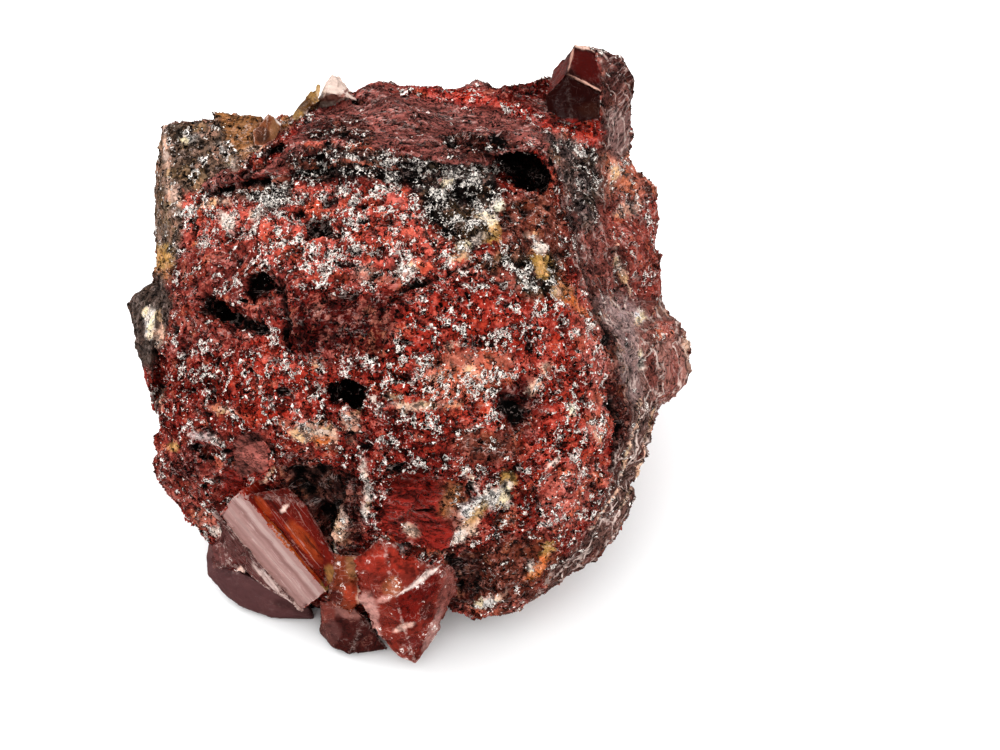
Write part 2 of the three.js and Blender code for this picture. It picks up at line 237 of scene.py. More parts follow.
def depthIn(name, points):
    # how far points lie outside a crystal's nearest face, below 0 inside it
    hullPoints, faces = hulls[name]
    normal, _ = faceNormals(hullPoints, faces)
    reach = (normal * hullPoints[faces[:, 0]]).sum(1)
    return (points @ normal.T - reach).max(1)


def edgesOf(faces):
    # each edge once, and which edge each side of each face is
    sides = np.sort(np.stack([faces, np.roll(faces, -1, axis=1)], axis=2).reshape(-1, 2), axis=1)
    span = faces.max() + 1
    keys, which = np.unique(sides[:, 0] * span + sides[:, 1], return_inverse=True)
    return np.column_stack([keys // span, keys % span]), which.reshape(-1)


def neighbourMean(values, edges):
    total = np.zeros_like(values)
    count = np.zeros(len(values))
    for a, b in ((0, 1), (1, 0)):
        for k in range(values.shape[1]):
            total[:, k] += np.bincount(edges[:, a], values[edges[:, b], k], len(values))
        count += np.bincount(edges[:, a], minlength=len(values))
    return total / np.maximum(count, 1)[:, None]


def split(points, faces, label, longestAt, seed):
    # splits each edge that is longer than wanted there, once
    edges, which = edgesOf(faces)
    start, end = points[edges[:, 0]], points[edges[:, 1]]
    share = 0.5 + 0.16 * (cellNumber(np.column_stack([edges, edges[:, 0] * 0 + seed]), 3) - 0.5)
    half = start + (end - start) * share[:, None]
    long = np.linalg.norm(end - start, axis=1) > longestAt(half)
    made = np.full(len(edges), -1)
    made[long] = len(points) + np.arange(long.sum())
    mid = made[which].reshape(-1, 3)
    count = (mid >= 0).sum(1)
    a, b, c = faces.T
    parts, labels = [faces[count == 0]], [label[count == 0]]
    for turn in range(3):
        x, y, z = (np.roll(faces, -turn, axis=1)).T
        xy, yz, zx = (np.roll(mid, -turn, axis=1)).T
        one = (count == 1) & (xy >= 0)
        two = (count == 2) & (zx < 0)
        for chosen, triangles in (
            (one, ((x, xy, z), (xy, y, z))),
            (two, ((xy, y, yz), (x, xy, yz), (x, yz, z))),
        ):
            for triangle in triangles:
                parts.append(np.column_stack(triangle)[chosen])
                labels.append(label[chosen])
    whole = count == 3
    ab, bc, ca = mid.T
    for triangle in ((a, ab, ca), (ab, b, bc), (ca, bc, c), (ab, bc, ca)):
        parts.append(np.column_stack(triangle)[whole])
        labels.append(label[whole])
    return np.vstack([points, half[long]]), np.vstack(parts), np.concatenate(labels), int(long.sum())


def refined(points, faces, label, longestAt):
    for seed in range(12):
        points, faces, label, splits = split(points, faces, label, longestAt, seed)
        if not splits:
            break
    return points, faces, label


# The crust: one closed mesh over the whole stone
crust = {
    "heart": (-2.553, -4.555, 48.0),
    "edgeFront": 1.5,  # longest triangle side where the front shows, mm
    "edgeBack": 2.2,
    "edgeUnder": 2.9,
    "softening": 10,
    "facets": ((9.0, 0.17, 3), (4.2, 0.22, 5), (2.0, 0.34, 7)),  # size, slope, seed
    "most": 1.9,  # its own breaks rise no further than this
    "deeper": 0.4,  # and sink this much further
}
heart = np.array(crust["heart"])


def stonePoints():
    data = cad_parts["calcite_lump"].data
    points = np.empty(len(data.vertices) * 3)
    data.vertices.foreach_get("co", points)
    faces = np.empty(len(data.polygons) * 3, np.int64)
    data.polygons.foreach_get("vertices", faces)
    points = points.reshape(-1, 3) * 1000
    _, first, which = np.unique(np.round(points, 3), axis=0, return_index=True, return_inverse=True)
    return points[first], which.reshape(-1)[faces].reshape(-1, 3)


names = list(corners)


def labelled(points, faces):
    label = np.zeros(len(faces), np.int64)
    middles = points[faces].mean(1)
    for n, name in enumerate(names):
        on = np.abs(depthIn(name, points)) < 0.12
        label[on[faces].all(1) & (np.abs(depthIn(name, middles)) < 0.12)] = n + 1
    return label


def facingFront(points):
    away = points - heart
    return (away @ outward) / np.maximum(np.linalg.norm(away, axis=1), 1e-9)


def crustEdge(points):
    back = 1 - stepped(-0.3, 0.12, facingFront(points))
    edge = crust["edgeFront"] + (crust["edgeBack"] - crust["edgeFront"]) * back
    under = (1 - stepped(2, 14, points[:, 2])) * back
    return np.maximum(edge, crust["edgeUnder"] * under)


points, faces = stonePoints()
label = labelled(points, faces)
counted = {name: int((label == n + 1).sum()) for n, name in enumerate(names)}
print("stone read:", len(faces), "triangles,", counted)
points, faces, label = refined(points, faces, label, crustEdge)
print("crust split into", len(faces), "triangles")
edges, _ = edgesOf(faces)

# What each point belongs to: the crust, or crystals whose faces stay flat
onCrust = np.zeros(len(points), bool)
onCrust[faces[label == 0]] = True
pointLabel = np.zeros(len(points), np.int64)
pointLabel[faces.reshape(-1)] = np.repeat(label, 3)
pointLabel[onCrust] = 0
base = points.copy()
for _ in range(crust["softening"]):
    base[onCrust] += 0.6 * (neighbourMean(base, edges) - base)[onCrust]
lie = pointNormals(base, faces)
for _ in range(3):
    lie += neighbourMean(lie, edges)
    lie /= np.linalg.norm(lie, axis=1, keepdims=True)

# Kinds of crust: middle colour, and how much it sparkles (white flecks, partly painted glints), gapes
# (pits, with painted shade in the gaps), is smooth skin and carries veins
kinds = ("tint", "spark", "pits", "skin", "veins")
looks = {
    "red": ((0.25, 0.02, 0.0125), 0.49, 0.5, 0.0, 0.0),
    "bright": ((0.38, 0.034, 0.019), 0.53, 0.5, 0.0, 0.0),
    "flame": ((0.52, 0.13, 0.075), 0.58, 0.4, 0.0, 0.0),
    "pink": ((0.48, 0.08, 0.056), 0.74, 0.5, 0.0, 0.0),
    "rose": ((0.43, 0.1, 0.074), 0.52, 0.25, 0.1, 0.0),
    "wine": ((0.085, 0.005, 0.0035), 0.15, 0.4, 0.25, 0.0),
    "dusk": ((0.23, 0.035, 0.026), 0.39, 0.3, 0.35, 0.0),
    # mauve: on the cap, its paleness over the maroon is partly a painted sheen
    "mauve": ((0.26, 0.078, 0.066), 0.24, 0.45, 0.92, 0.0),
    "capGrit": ((0.09, 0.02, 0.016), 0.4, 0.7, 0.3, 0.0),
    "freshRed": ((0.42, 0.035, 0.022), 0.44, 0.3, 0.1, 0.0),
    "deepRed": ((0.13, 0.007, 0.004), 0.25, 0.35, 0.2, 0.0),
    # darkCrustAndShade: near black; painted shade under the cap's ledge and the left lip, dark crust
    # elsewhere
    "darkCrustAndShade": ((0.013, 0.006, 0.005), 0.68, 0.6, 0.0, 0.0),
    "ash": ((0.075, 0.056, 0.05), 0.8, 0.65, 0.0, 0.0),
    "olive": ((0.085, 0.05, 0.026), 0.7, 0.6, 0.0, 0.0),
    "umber": ((0.165, 0.038, 0.023), 0.34, 0.3, 0.1, 0.0),
    "maroon": ((0.25, 0.019, 0.012), 0.1, 0.12, 1.0, 0.0),
    # caveShade: dark red laid in caves and sunk creases, painted shade
    "caveShade": ((0.075, 0.012, 0.008), 0.14, 0.4, 0.3, 0.0),
    "block": ((0.16, 0.098, 0.068), 0.44, 0.5, 0.05, 0.0),
    "ochre": ((0.29, 0.13, 0.05), 0.3, 0.3, 0.5, 0.0),
    "blockSide": ((0.15, 0.09, 0.057), 0.4, 0.2, 0.35, 0.2),
    "glassGrey": ((0.08, 0.053, 0.043), 0.12, 0.3, 0.6, 0.2),
    "side": ((0.15, 0.075, 0.062), 0.34, 0.2, 0.8, 1.0),
    "sideGrey": ((0.36, 0.24, 0.23), 0.24, 0.15, 0.6, 1.0),
    "sideBrown": ((0.25, 0.074, 0.06), 0.3, 0.3, 0.7, 0.35),
    "sideDark": ((0.085, 0.054, 0.048), 0.5, 0.5, 0.2, 0.3),
    "salmon": ((0.38, 0.115, 0.075), 0.42, 0.2, 0.3, 0.15),
    "wing": ((0.32, 0.062, 0.045), 0.38, 0.25, 0.5, 0.25),
    "bump": ((0.32, 0.14, 0.115), 0.2, 0.15, 0.8, 1.0),
    "cream": ((0.68, 0.45, 0.34), 0.45, 0.12, 0.1, 0.0),
    "white": ((0.85, 0.74, 0.66), 0.6, 0.06, 0.1, 0.0),
    "gold": ((0.42, 0.25, 0.08), 0.3, 0.25, 0.3, 0.0),
    "orange": ((0.56, 0.16, 0.045), 0.3, 0.15, 0.3, 0.0),
    "tan": ((0.46, 0.2, 0.09), 0.4, 0.25, 0.1, 0.0),
    "facet": ((0.27, 0.085, 0.07), 0.05, 0.05, 1.0, 0.0),
    "shoulder": ((0.12, 0.04, 0.034), 0.3, 0.25, 0.5, 0.5),
    "lilac": ((0.2, 0.11, 0.1), 0.15, 0.1, 0.8, 0.5),
}
looks = {name: dict(zip(kinds, look)) for name, look in looks.items()}

# Places on the front are given in quarter millimetres of the drawing plane, across and down
frontChart = {"x": 400, "y": 360, "perMm": 4}  # where the plane's origin lies

# Areas of the front, laid over each other in this order: a look, how soft and how ragged the border
# is in mm, and the border
areas = (
    ("dusk", 3, 4, (150, 240, 190, 190, 262, 200, 300, 262, 290, 300, 262, 330, 235, 345, 150, 350)),
    ("pink", 2.5, 4, (262, 262, 245, 240, 265, 205, 300, 186, 350, 185, 402, 188, 432, 215, 458, 246,
        472, 264, 440, 282, 400, 287, 350, 291, 308, 282, 290, 262)),
    ("wine", 3, 4, (290, 287, 350, 291, 402, 289, 442, 300, 404, 330, 388, 356, 340, 352, 300, 356,
        284, 330)),
    ("bright", 3.5, 4, (405, 300, 450, 290, 520, 284, 562, 300, 602, 340, 614, 400, 602, 452, 566, 486,
        520, 470, 470, 452, 430, 420, 398, 402, 386, 370, 402, 332)),
    ("bright", 3, 4, (262, 330, 300, 356, 330, 362, 330, 400, 300, 430, 255, 420, 238, 380)),
    ("flame", 2.5, 3.5, (410, 362, 455, 344, 502, 352, 508, 382, 470, 398, 430, 394)),
    ("rose", 2.5, 2.5, (556, 292, 592, 302, 612, 352, 614, 402, 600, 446, 584, 432, 590, 380,
        574, 330)),
    ("rose", 2.5, 2.5, (545, 470, 600, 455, 606, 480, 580, 520, 548, 540, 540, 500)),
    ("wine", 2.5, 3, (495, 385, 535, 372, 545, 400, 528, 436, 500, 430)),
    ("umber", 3, 3, (460, 430, 520, 430, 520, 462, 470, 470, 452, 450)),
    ("dusk", 2.5, 3, (150, 440, 235, 430, 240, 470, 222, 500, 215, 540, 150, 500)),
    ("caveShade", 2, 2.5, (276, 466, 300, 458, 352, 470, 372, 500, 362, 540, 345, 570, 330, 560, 300, 512,
        280, 486)),
    ("maroon", 1.0, 1.2, (378, 512, 392, 490, 404, 476, 446, 478, 470, 500, 468, 540, 440, 550,
        398, 546, 386, 536)),
    ("maroon", 1.2, 1.5, (226, 470, 262, 474, 268, 488, 256, 500, 236, 502, 222, 488)),
    ("facet", 0.8, 1.0, (236, 436, 258, 434, 272, 450, 266, 474, 242, 476, 232, 460)),
    ("umber", 1.5, 2, (436, 480, 470, 488, 478, 530, 466, 548, 446, 520)),
    ("caveShade", 2, 2.5, (446, 556, 480, 548, 530, 540, 520, 592, 490, 610, 450, 612, 440, 590)),
    ("umber", 2, 2.5, (480, 552, 545, 530, 566, 560, 540, 600, 480, 612)),
    # the cap, its mauve partly a painted sheen
    ("mauve", 1.2, 2, (262, 178, 286, 150, 306, 118, 332, 102, 352, 92, 372, 82, 476, 84, 500, 92,
        545, 96, 560, 128, 556, 192, 546, 150, 520, 148, 492, 158, 442, 164, 400, 150, 345, 152,
        300, 152, 280, 176)),
    ("capGrit", 2, 3, (320, 128, 360, 118, 372, 140, 366, 162, 330, 160, 305, 150, 308, 135)),
    ("capGrit", 1.5, 2.5, (440, 138, 500, 130, 520, 146, 500, 154, 450, 152)),
    ("freshRed", 1.5, 2, (392, 92, 420, 84, 470, 90, 500, 98, 540, 112, 566, 130, 600, 122, 600, 156,
        580, 152, 548, 132, 512, 112, 470, 104, 430, 98)),
    ("deepRed", 1.2, 1.8, (488, 90, 520, 76, 548, 78, 544, 98, 516, 106, 500, 100)),
    # the dark band under the cap's ledge and the one under the left lip: painted shade
    ("darkCrustAndShade", 1.5, 2.5, (290, 158, 345, 152, 400, 152, 440, 164, 486, 168, 500, 190, 496, 206, 470, 206,
        440, 196, 400, 188, 345, 184, 302, 184)),
    ("darkCrustAndShade", 1.5, 2.5, (205, 190, 240, 184, 290, 182, 292, 200, 270, 208, 240, 204)),
    ("ash", 1.5, 2.5, (248, 196, 290, 190, 284, 212, 256, 218)),
    ("ash", 2, 3, (396, 152, 440, 160, 486, 166, 496, 178, 430, 178, 400, 168)),
    ("ash", 2, 3, (418, 190, 452, 196, 500, 200, 486, 216, 440, 214)),
    ("olive", 2, 3, (436, 206, 500, 206, 504, 236, 470, 246, 446, 240)),
    ("umber", 2, 3, (500, 192, 548, 190, 570, 214, 574, 250, 548, 262, 506, 258, 498, 230)),
    ("darkCrustAndShade", 1.8, 2.5, (420, 190, 440, 212, 458, 238, 446, 244, 428, 224)),
    ("olive", 1.8, 2.5, (480, 262, 500, 250, 562, 258, 566, 290, 540, 296, 500, 280)),
    ("darkCrustAndShade", 1.4, 2, (488, 258, 540, 262, 558, 286, 545, 296, 520, 276, 490, 270)),
    ("pink", 2, 3, (180, 190, 212, 200, 262, 206, 240, 250, 190, 250)),
    ("block", 1.0, 1.6, (150, 118, 165, 112, 222, 106, 292, 112, 288, 124, 262, 146, 240, 172, 206, 188,
        186, 196, 182, 240, 170, 276, 148, 280)),
    ("ochre", 1.2, 1.4, (214, 106, 292, 112, 286, 124, 262, 146, 246, 158, 226, 140)),
    ("tan", 1.0, 1.2, (150, 248, 170, 250, 172, 280, 150, 282)),
    ("blockSide", 0.8, 1.0, (150, 128, 163, 132, 168, 170, 180, 206, 172, 250, 150, 250)),
    ("glassGrey", 0.8, 1.0, (118, 286, 165, 270, 172, 300, 162, 350, 152, 372, 118, 350)),
    ("side", 1.5, 2.5, (548, 132, 600, 136, 634, 150, 668, 188, 668, 284, 716, 306, 716, 402, 668, 436,
        652, 524, 604, 590, 540, 640, 470, 640, 500, 606, 545, 590, 570, 552, 596, 520, 612, 476,
        622, 434, 616, 380, 602, 332, 586, 292, 574, 240, 562, 196)),
    ("sideBrown", 1.8, 2.5, (556, 190, 596, 200, 622, 262, 640, 300, 606, 306, 590, 290, 574, 240)),
    ("sideDark", 1.8, 2.5, (548, 136, 602, 150, 600, 190, 592, 234, 574, 226, 560, 180)),
    ("sideGrey", 2, 2.5, (600, 300, 640, 300, 648, 340, 640, 402, 622, 400, 612, 350)),
    ("caveShade", 1.4, 2, (604, 328, 616, 340, 626, 396, 628, 440, 616, 446, 612, 400, 606, 352)),
    ("salmon", 1.8, 2.5, (602, 140, 634, 150, 668, 186, 664, 214, 620, 226, 604, 200)),
    ("wing", 1.8, 2.5, (602, 206, 664, 196, 668, 284, 660, 306, 634, 300, 618, 262)),
    ("bump", 1.6, 2.0, (640, 304, 716, 300, 716, 404, 668, 432, 646, 400, 640, 350)),
    ("lilac", 1.4, 1.6, (600, 104, 640, 100, 640, 148, 618, 160, 600, 150)),
    ("shoulder", 1.4, 2.0, (596, 40, 650, 50, 650, 110, 600, 108, 600, 84)),
    ("freshRed", 1.0, 1.4, (558, 122, 600, 118, 600, 150, 580, 148)),
)

# Small marks: a look, middle, half length, half width, turn in degrees and strength
marks = (
    ("white", 229, 222, 10, 9, 0, 1.0), ("cream", 214, 204, 16, 5, 10, 0.8),
    ("white", 256, 216, 8, 5, 0, 0.7), ("white", 190, 140, 9, 5, 20, 0.8),
    ("white", 232, 164, 12, 4, -60, 0.4), ("white", 268, 114, 8, 2, -40, 0.9),
    ("cream", 251, 150, 12, 3, 10, 0.9), ("white", 222, 148, 10, 3, -60, 0.4),
    ("cream", 166, 160, 2.5, 34, 6, 0.6), ("cream", 176, 196, 2.5, 14, 25, 0.6),
    ("umber", 268, 126, 12, 9, 0, 0.9), ("gold", 162, 258, 8, 12, 0, 0.7),
    ("salmon", 275, 182, 15, 3, 12, 1.0), ("salmon", 303, 166, 10, 3, 8, 0.8),
    ("orange", 196, 246, 4, 4, 0, 1.0), ("white", 484, 220, 9, 6, -10, 1.0),
    ("gold", 492, 236, 7, 8, 0, 1.0), ("white", 497, 206, 7, 4, 0, 1.0),
    ("white", 470, 242, 14, 7, 25, 0.75), ("cream", 462, 256, 14, 4, 15, 0.8),
    ("white", 446, 184, 7, 4, 0, 0.7), ("gold", 541, 268, 9, 12, 0, 1.0),
    ("white", 541, 246, 7, 6, 0, 1.0), ("cream", 533, 236, 7, 3, 0, 0.7),
    ("tan", 562, 290, 10, 10, 0, 1.0), ("orange", 574, 302, 14, 5, -50, 0.9),
    ("cream", 556, 292, 5, 4, 0, 0.8), ("salmon", 372, 278, 24, 5, 0, 0.9),
    ("cream", 366, 270, 10, 4, 0, 0.6), ("white", 408, 268, 14, 5, 0, 0.6),
    ("pink", 300, 262, 26, 10, 10, 0.8), ("rose", 505, 278, 10, 10, 0, 0.7),
    ("bright", 424, 316, 30, 9, 32, 1.0), ("cream", 452, 346, 9, 4, 20, 0.7),
    ("cream", 480, 376, 11, 4, 15, 0.8), ("salmon", 500, 362, 12, 6, 0, 0.7),
    ("cream", 436, 378, 7, 3, 0, 0.6), ("salmon", 462, 358, 14, 7, 0, 0.8),
    ("cream", 470, 368, 6, 4, 0, 0.8), ("cream", 546, 368, 5, 7, 0, 0.9),
    ("bright", 250, 372, 30, 16, 0, 0.6), ("salmon", 318, 360, 7, 4, 0, 0.8),
    ("cream", 316, 366, 5, 3, 0, 0.8), ("salmon", 268, 384, 10, 4, 0, 0.7),
    ("cream", 226, 410, 12, 4, 0, 1.0), ("salmon", 212, 408, 8, 4, 0, 0.9),
    ("cream", 320, 436, 27, 11, -14, 1.0), ("orange", 322, 441, 13, 6, -8, 1.0),
    ("cream", 352, 424, 8, 10, 0, 0.6), ("salmon", 286, 424, 10, 5, 0, 0.8),
    ("cream", 396, 396, 12, 4, 0, 0.7), ("white", 374, 399, 5, 3, 0, 0.9),
    ("cream", 424, 406, 27, 4, 0, 1.0), ("rose", 440, 408, 12, 5, 0, 0.7),
    ("white", 572, 408, 3, 7, 0, 0.9), ("cream", 535, 388, 10, 5, 40, 0.8),
    ("white", 553, 462, 9, 3, 40, 0.8), ("cream", 594, 434, 4, 12, 10, 0.8),
    ("gold", 174, 447, 6, 4, 0, 0.9), ("white", 208, 438, 10, 4, 0, 0.5),
    ("white", 196, 434, 8, 4, 0, 0.5), ("white", 366, 480, 4, 24, 8, 0.8),
    ("white", 366, 512, 3, 10, 5, 0.7), ("white", 379, 548, 8, 7, 30, 0.9),
    ("cream", 341, 526, 7, 12, 0, 0.9), ("white", 336, 560, 4, 14, 10, 0.7),
    ("cream", 409, 530, 9, 5, -45, 1.0), ("tan", 352, 576, 7, 14, 0, 0.8),
    ("white", 403, 549, 10, 3, 20, 0.8), ("umber", 428, 552, 26, 4, 0, 0.8),
    ("white", 486, 498, 26, 6, 35, 1.0), ("gold", 508, 482, 9, 9, 0, 1.0),
    ("white", 500, 496, 14, 8, 30, 1.0), ("cream", 466, 528, 17, 6, 42, 1.0),
    ("white", 460, 536, 9, 5, 30, 0.9), ("white", 472, 482, 3, 15, 28, 0.9),
    ("gold", 478, 512, 12, 5, 50, 0.8), ("salmon", 505, 520, 16, 7, 30, 0.7),
    ("tan", 450, 500, 8, 14, -20, 0.7), ("gold", 548, 550, 5, 13, -28, 0.9),
    ("orange", 535, 571, 20, 5, 48, 1.0), ("white", 530, 566, 4, 6, 0, 0.9),
    ("white", 486, 600, 18, 4, 20, 0.8), ("rose", 470, 610, 20, 5, 0, 0.8),
    ("rose", 510, 606, 22, 6, 10, 0.6), ("cream", 620, 266, 3, 22, 14, 0.9),
    ("cream", 612, 176, 9, 12, 0, 0.8), ("cream", 628, 208, 14, 7, 20, 0.6),
    ("cream", 648, 170, 18, 4, -55, 0.8), ("cream", 690, 346, 7, 30, 0, 0.9),
    ("white", 643, 362, 4, 9, 10, 0.9), ("rose", 660, 330, 14, 10, 0, 0.6),
    ("white", 640, 318, 6, 8, 0, 0.7), ("cream", 676, 312, 18, 4, -8, 0.8),
    ("white", 150, 318, 8, 16, 10, 0.8), ("cream", 160, 332, 4, 22, 0, 0.8),
    ("cream", 162, 396, 5, 14, 0, 0.6), ("white", 216, 530, 9, 5, -10, 0.8),
    ("salmon", 206, 520, 12, 9, -30, 0.8), ("wine", 182, 470, 14, 12, 0, 0.8),
    ("freshRed", 250, 486, 18, 8, 30, 0.8), ("cream", 268, 478, 12, 2, 45, 0.9),
)

# Thin creases, ribs and rims: a look, half width, how far it stands out in mm, and its places; creases that
# sink get painted shade
lines = (
    ("caveShade", 3.2, -1.8, (488, 157, 500, 158, 514, 161)),
    ("caveShade", 2.6, -1.8, (270, 280, 281, 296, 284, 322, 289, 350)),
    ("caveShade", 4.5, -2.6, (212, 193, 232, 187, 252, 184, 268, 182)),
    ("caveShade", 4.5, -2.6, (244, 176, 256, 168, 264, 164)),
    ("caveShade", 4.0, -2.2, (264, 156, 274, 150, 282, 146)),
    ("salmon", 1.6, 0.8, (250, 190, 266, 186, 284, 178)),
    ("mauve", 3.0, 1.6, (206, 188, 232, 176, 262, 174, 284, 160, 300, 148)),
    ("darkCrustAndShade", 1.6, -1.0, (398, 206, 420, 222, 436, 246, 440, 268)),
    ("caveShade", 1.8, -1.2, (398, 290, 424, 284, 456, 270, 480, 262)),
    ("mauve", 3.0, 0.8, (400, 152, 440, 160, 486, 162, 500, 152, 545, 148)),
    ("caveShade", 1.2, -0.8, (344, 92, 362, 100, 380, 104)),
    ("caveShade", 1.5, -0.8, (384, 122, 420, 130, 460, 134)),
    ("caveShade", 1.2, -0.6, (402, 142, 430, 146, 470, 142)),
    ("caveShade", 2.4, -1.5, (562, 196, 576, 240, 590, 290, 604, 330)),
    ("caveShade", 2.2, -1.4, (612, 392, 618, 430, 612, 470)),
    ("caveShade", 1.6, -1.0, (262, 262, 284, 290, 290, 330)),
    ("caveShade", 1.6, -1.2, (402, 545, 430, 553, 460, 546)),
    ("caveShade", 1.4, -0.6, (396, 524, 410, 512, 434, 509)),
    ("cream", 1.4, 0.5, (616, 246, 620, 272, 628, 294)),
    ("cream", 1.2, 0.4, (640, 400, 630, 450, 612, 500, 590, 530)),
    ("cream", 1.0, 0.4, (656, 402, 640, 460, 622, 506)),
    ("rose", 1.6, 0.6, (296, 146, 330, 142, 372, 150)),
    ("salmon", 1.6, 0.6, (330, 164, 350, 160, 398, 168)),
    ("wine", 1.6, -0.9, (352, 455, 352, 500, 358, 540)),
)

# Hollows, painted dark as shade: middle, half length, half width, turn, and depth in mm
holes = (
    (298, 213, 9, 5, 0, 2.0), (332, 234, 9, 5, 0, 1.8), (360, 206, 12, 4, -6, 1.7),
    (362, 222, 11, 4, 0, 1.5), (346, 264, 16, 4, -6, 1.6), (356, 250, 11, 3, 0, 1.4),
    (300, 250, 10, 4, 0, 1.5), (196, 448, 8, 4, 20, 2.0), (206, 457, 8, 4, -10, 2.2),
    (224, 452, 6, 4, 0, 2.0), (230, 462, 5, 4, 0, 1.8), (202, 489, 5, 3, 0, 1.6),
    (192, 234, 5, 8, 0, 2.0), (168, 264, 7, 9, 0, 2.2), (452, 144, 10, 5, 0, 2.0),
    (468, 142, 8, 5, 0, 1.8), (494, 136, 6, 7, 0, 1.8), (508, 146, 9, 4, 0, 1.8),
    (326, 117, 4, 3, 0, 1.4), (308, 120, 5, 3, 0, 1.4), (330, 144, 5, 4, 0, 1.3),
    (344, 134, 6, 5, 0, 1.4), (356, 98, 7, 3, -35, 1.6), (270, 152, 9, 5, 30, 2.0),
    (256, 168, 8, 5, 25, 2.0), (526, 208, 8, 5, 0, 1.6), (548, 208, 5, 4, 0, 1.2),
    (446, 232, 6, 4, 0, 1.4), (420, 282, 16, 4, 8, 1.5), (434, 288, 8, 4, 0, 1.4),
    (478, 342, 6, 4, 0, 1.0), (404, 342, 8, 4, 0, 1.0), (286, 392, 8, 4, 0, 1.3),
    (612, 410, 6, 14, 0, 2.0), (616, 434, 6, 10, 0, 2.0), (606, 340, 4, 9, 0, 1.8),
    (472, 490, 5, 8, 0, 1.6), (394, 470, 10, 6, 0, 1.2), (240, 262, 6, 3, 0, 1.0),
    (174, 330, 6, 4, 0, 1.4), (242, 300, 6, 3, 0, 1.4),
)

# Hollows with an outline: how deep, mm, how dark their painted shade is, and their borders
caves = (
    (3.6, 1.0, (490, 158, 506, 152, 526, 151, 541, 158, 549, 172, 552, 184, 546, 191, 532, 192,
        518, 186, 506, 176, 496, 166)),
    (4.5, 0.8, (325, 384, 338, 379, 354, 381, 366, 386, 365, 404, 367, 414, 356, 416, 346, 404,
        330, 400)),
    (3.4, 0.95, (196, 304, 203, 293, 216, 294, 226, 302, 236, 311, 250, 315, 264, 319, 268, 332,
        256, 337, 240, 331, 228, 322, 216, 316, 203, 315)),
    (3.0, 0.85, (246, 276, 258, 269, 269, 275, 274, 288, 267, 297, 257, 292, 252, 302, 245, 292)),
    (4.0, 0.5, (284, 468, 302, 462, 330, 468, 344, 486, 342, 506, 334, 528, 330, 546, 322, 530,
        308, 506, 292, 488)),
    (3.0, 0.85, (300, 224, 312, 218, 326, 220, 330, 232, 320, 238, 312, 246, 304, 238)),
    (2.0, 0.35, (446, 556, 462, 550, 486, 556, 492, 574, 478, 594, 460, 600, 448, 584)),
    (1.4, 0.8, (498, 402, 512, 396, 524, 404, 528, 420, 514, 428, 500, 418)),
)


def across(x):
    return (np.asarray(x, float) - frontChart["x"]) / frontChart["perMm"]


def upward(y):
    return (frontChart["y"] - np.asarray(y, float)) / frontChart["perMm"]


def planePlaces(flatPlaces):
    places = np.array(flatPlaces, float).reshape(-1, 2)
    return np.column_stack([across(places[:, 0]), upward(places[:, 1])])


def toSides(a, b, starts, ends):
    nearest = np.full(len(a), 1e9)
    for (ax, ay), (bx, by) in zip(starts, ends):
        along = ((a - ax) * (bx - ax) + (b - ay) * (by - ay)) / ((bx - ax) ** 2 + (by - ay) ** 2)
        along = np.clip(along, 0, 1)
        nearest = np.minimum(nearest, np.hypot(a - ax - along * (bx - ax), b - ay - along * (by - ay)))
    return nearest


def toOutline(a, b, flatPlaces):
    # how far inside an outline each point lies, below 0 outside it
    starts = planePlaces(flatPlaces)
    ends = np.roll(starts, -1, axis=0)
    within = np.zeros(len(a), bool)
    for (ax, ay), (bx, by) in zip(starts, ends):
        if ay != by:
            within ^= ((ay > b) != (by > b)) & (a < (bx - ax) * (b - ay) / (by - ay) + ax)
    nearest = toSides(a, b, starts, ends)
    return np.where(within, nearest, -nearest)


def toLine(a, b, flatPlaces):
    places = planePlaces(flatPlaces)
    return toSides(a, b, places[:-1], places[1:])


def toSpot(a, b, x, y, long, wide, turn):
    # 0 at the spot's middle, 1 at its border
    c, s = math.cos(math.radians(turn)), math.sin(math.radians(turn))
    a, b = a - across(x), b - upward(y)
    a, b = (a * c + b * s) * frontChart["perMm"] / long, (b * c - a * s) * frontChart["perMm"] / wide
    return np.hypot(a, b)


eyePoint = middle + sight["eye"][0] * right + sight["eye"][1] * up + sight["distance"] * outward


def seenFront(points, lie):
    view = eyePoint - points
    view /= np.linalg.norm(view, axis=1, keepdims=True)
    return stepped(-0.25, 0.1, (lie * view).sum(1))


def lay(paint, share, look, strength=1.0):
    for kind in kinds:
        value = np.array(look[kind], float)
        part = (share * strength)[:, None] if kind == "tint" else share * strength
        paint[kind] += part * (value - paint[kind])


# Looks of what the front doesn't show: size and seed of its cloud, and where that starts and is full
farLooks = (
    ("bright", 22, 301, 0.1, 0.3), ("dusk", 26, 305, 0.05, 0.2), ("side", 34, 311, 0.05, 0.2),
    ("mauve", 28, 316, 0.15, 0.3), ("darkCrustAndShade", 18, 321, 0.3, 0.42), ("block", 30, 331, 0.25, 0.35),
    ("rose", 16, 336, 0.3, 0.45), ("cream", 9, 341, 0.42, 0.52), ("gold", 11, 351, 0.45, 0.58),
    ("salmon", 12, 361, 0.45, 0.6), ("wine", 15, 366, 0.2, 0.35),
)
# and of the crystals' faces that it doesn't show
farCrystals = {"greyBlock": "block", "greyStep": "ochre", "leftCrystal": "glassGrey", "backLeft": "block",
               "backRight": "glassGrey"}


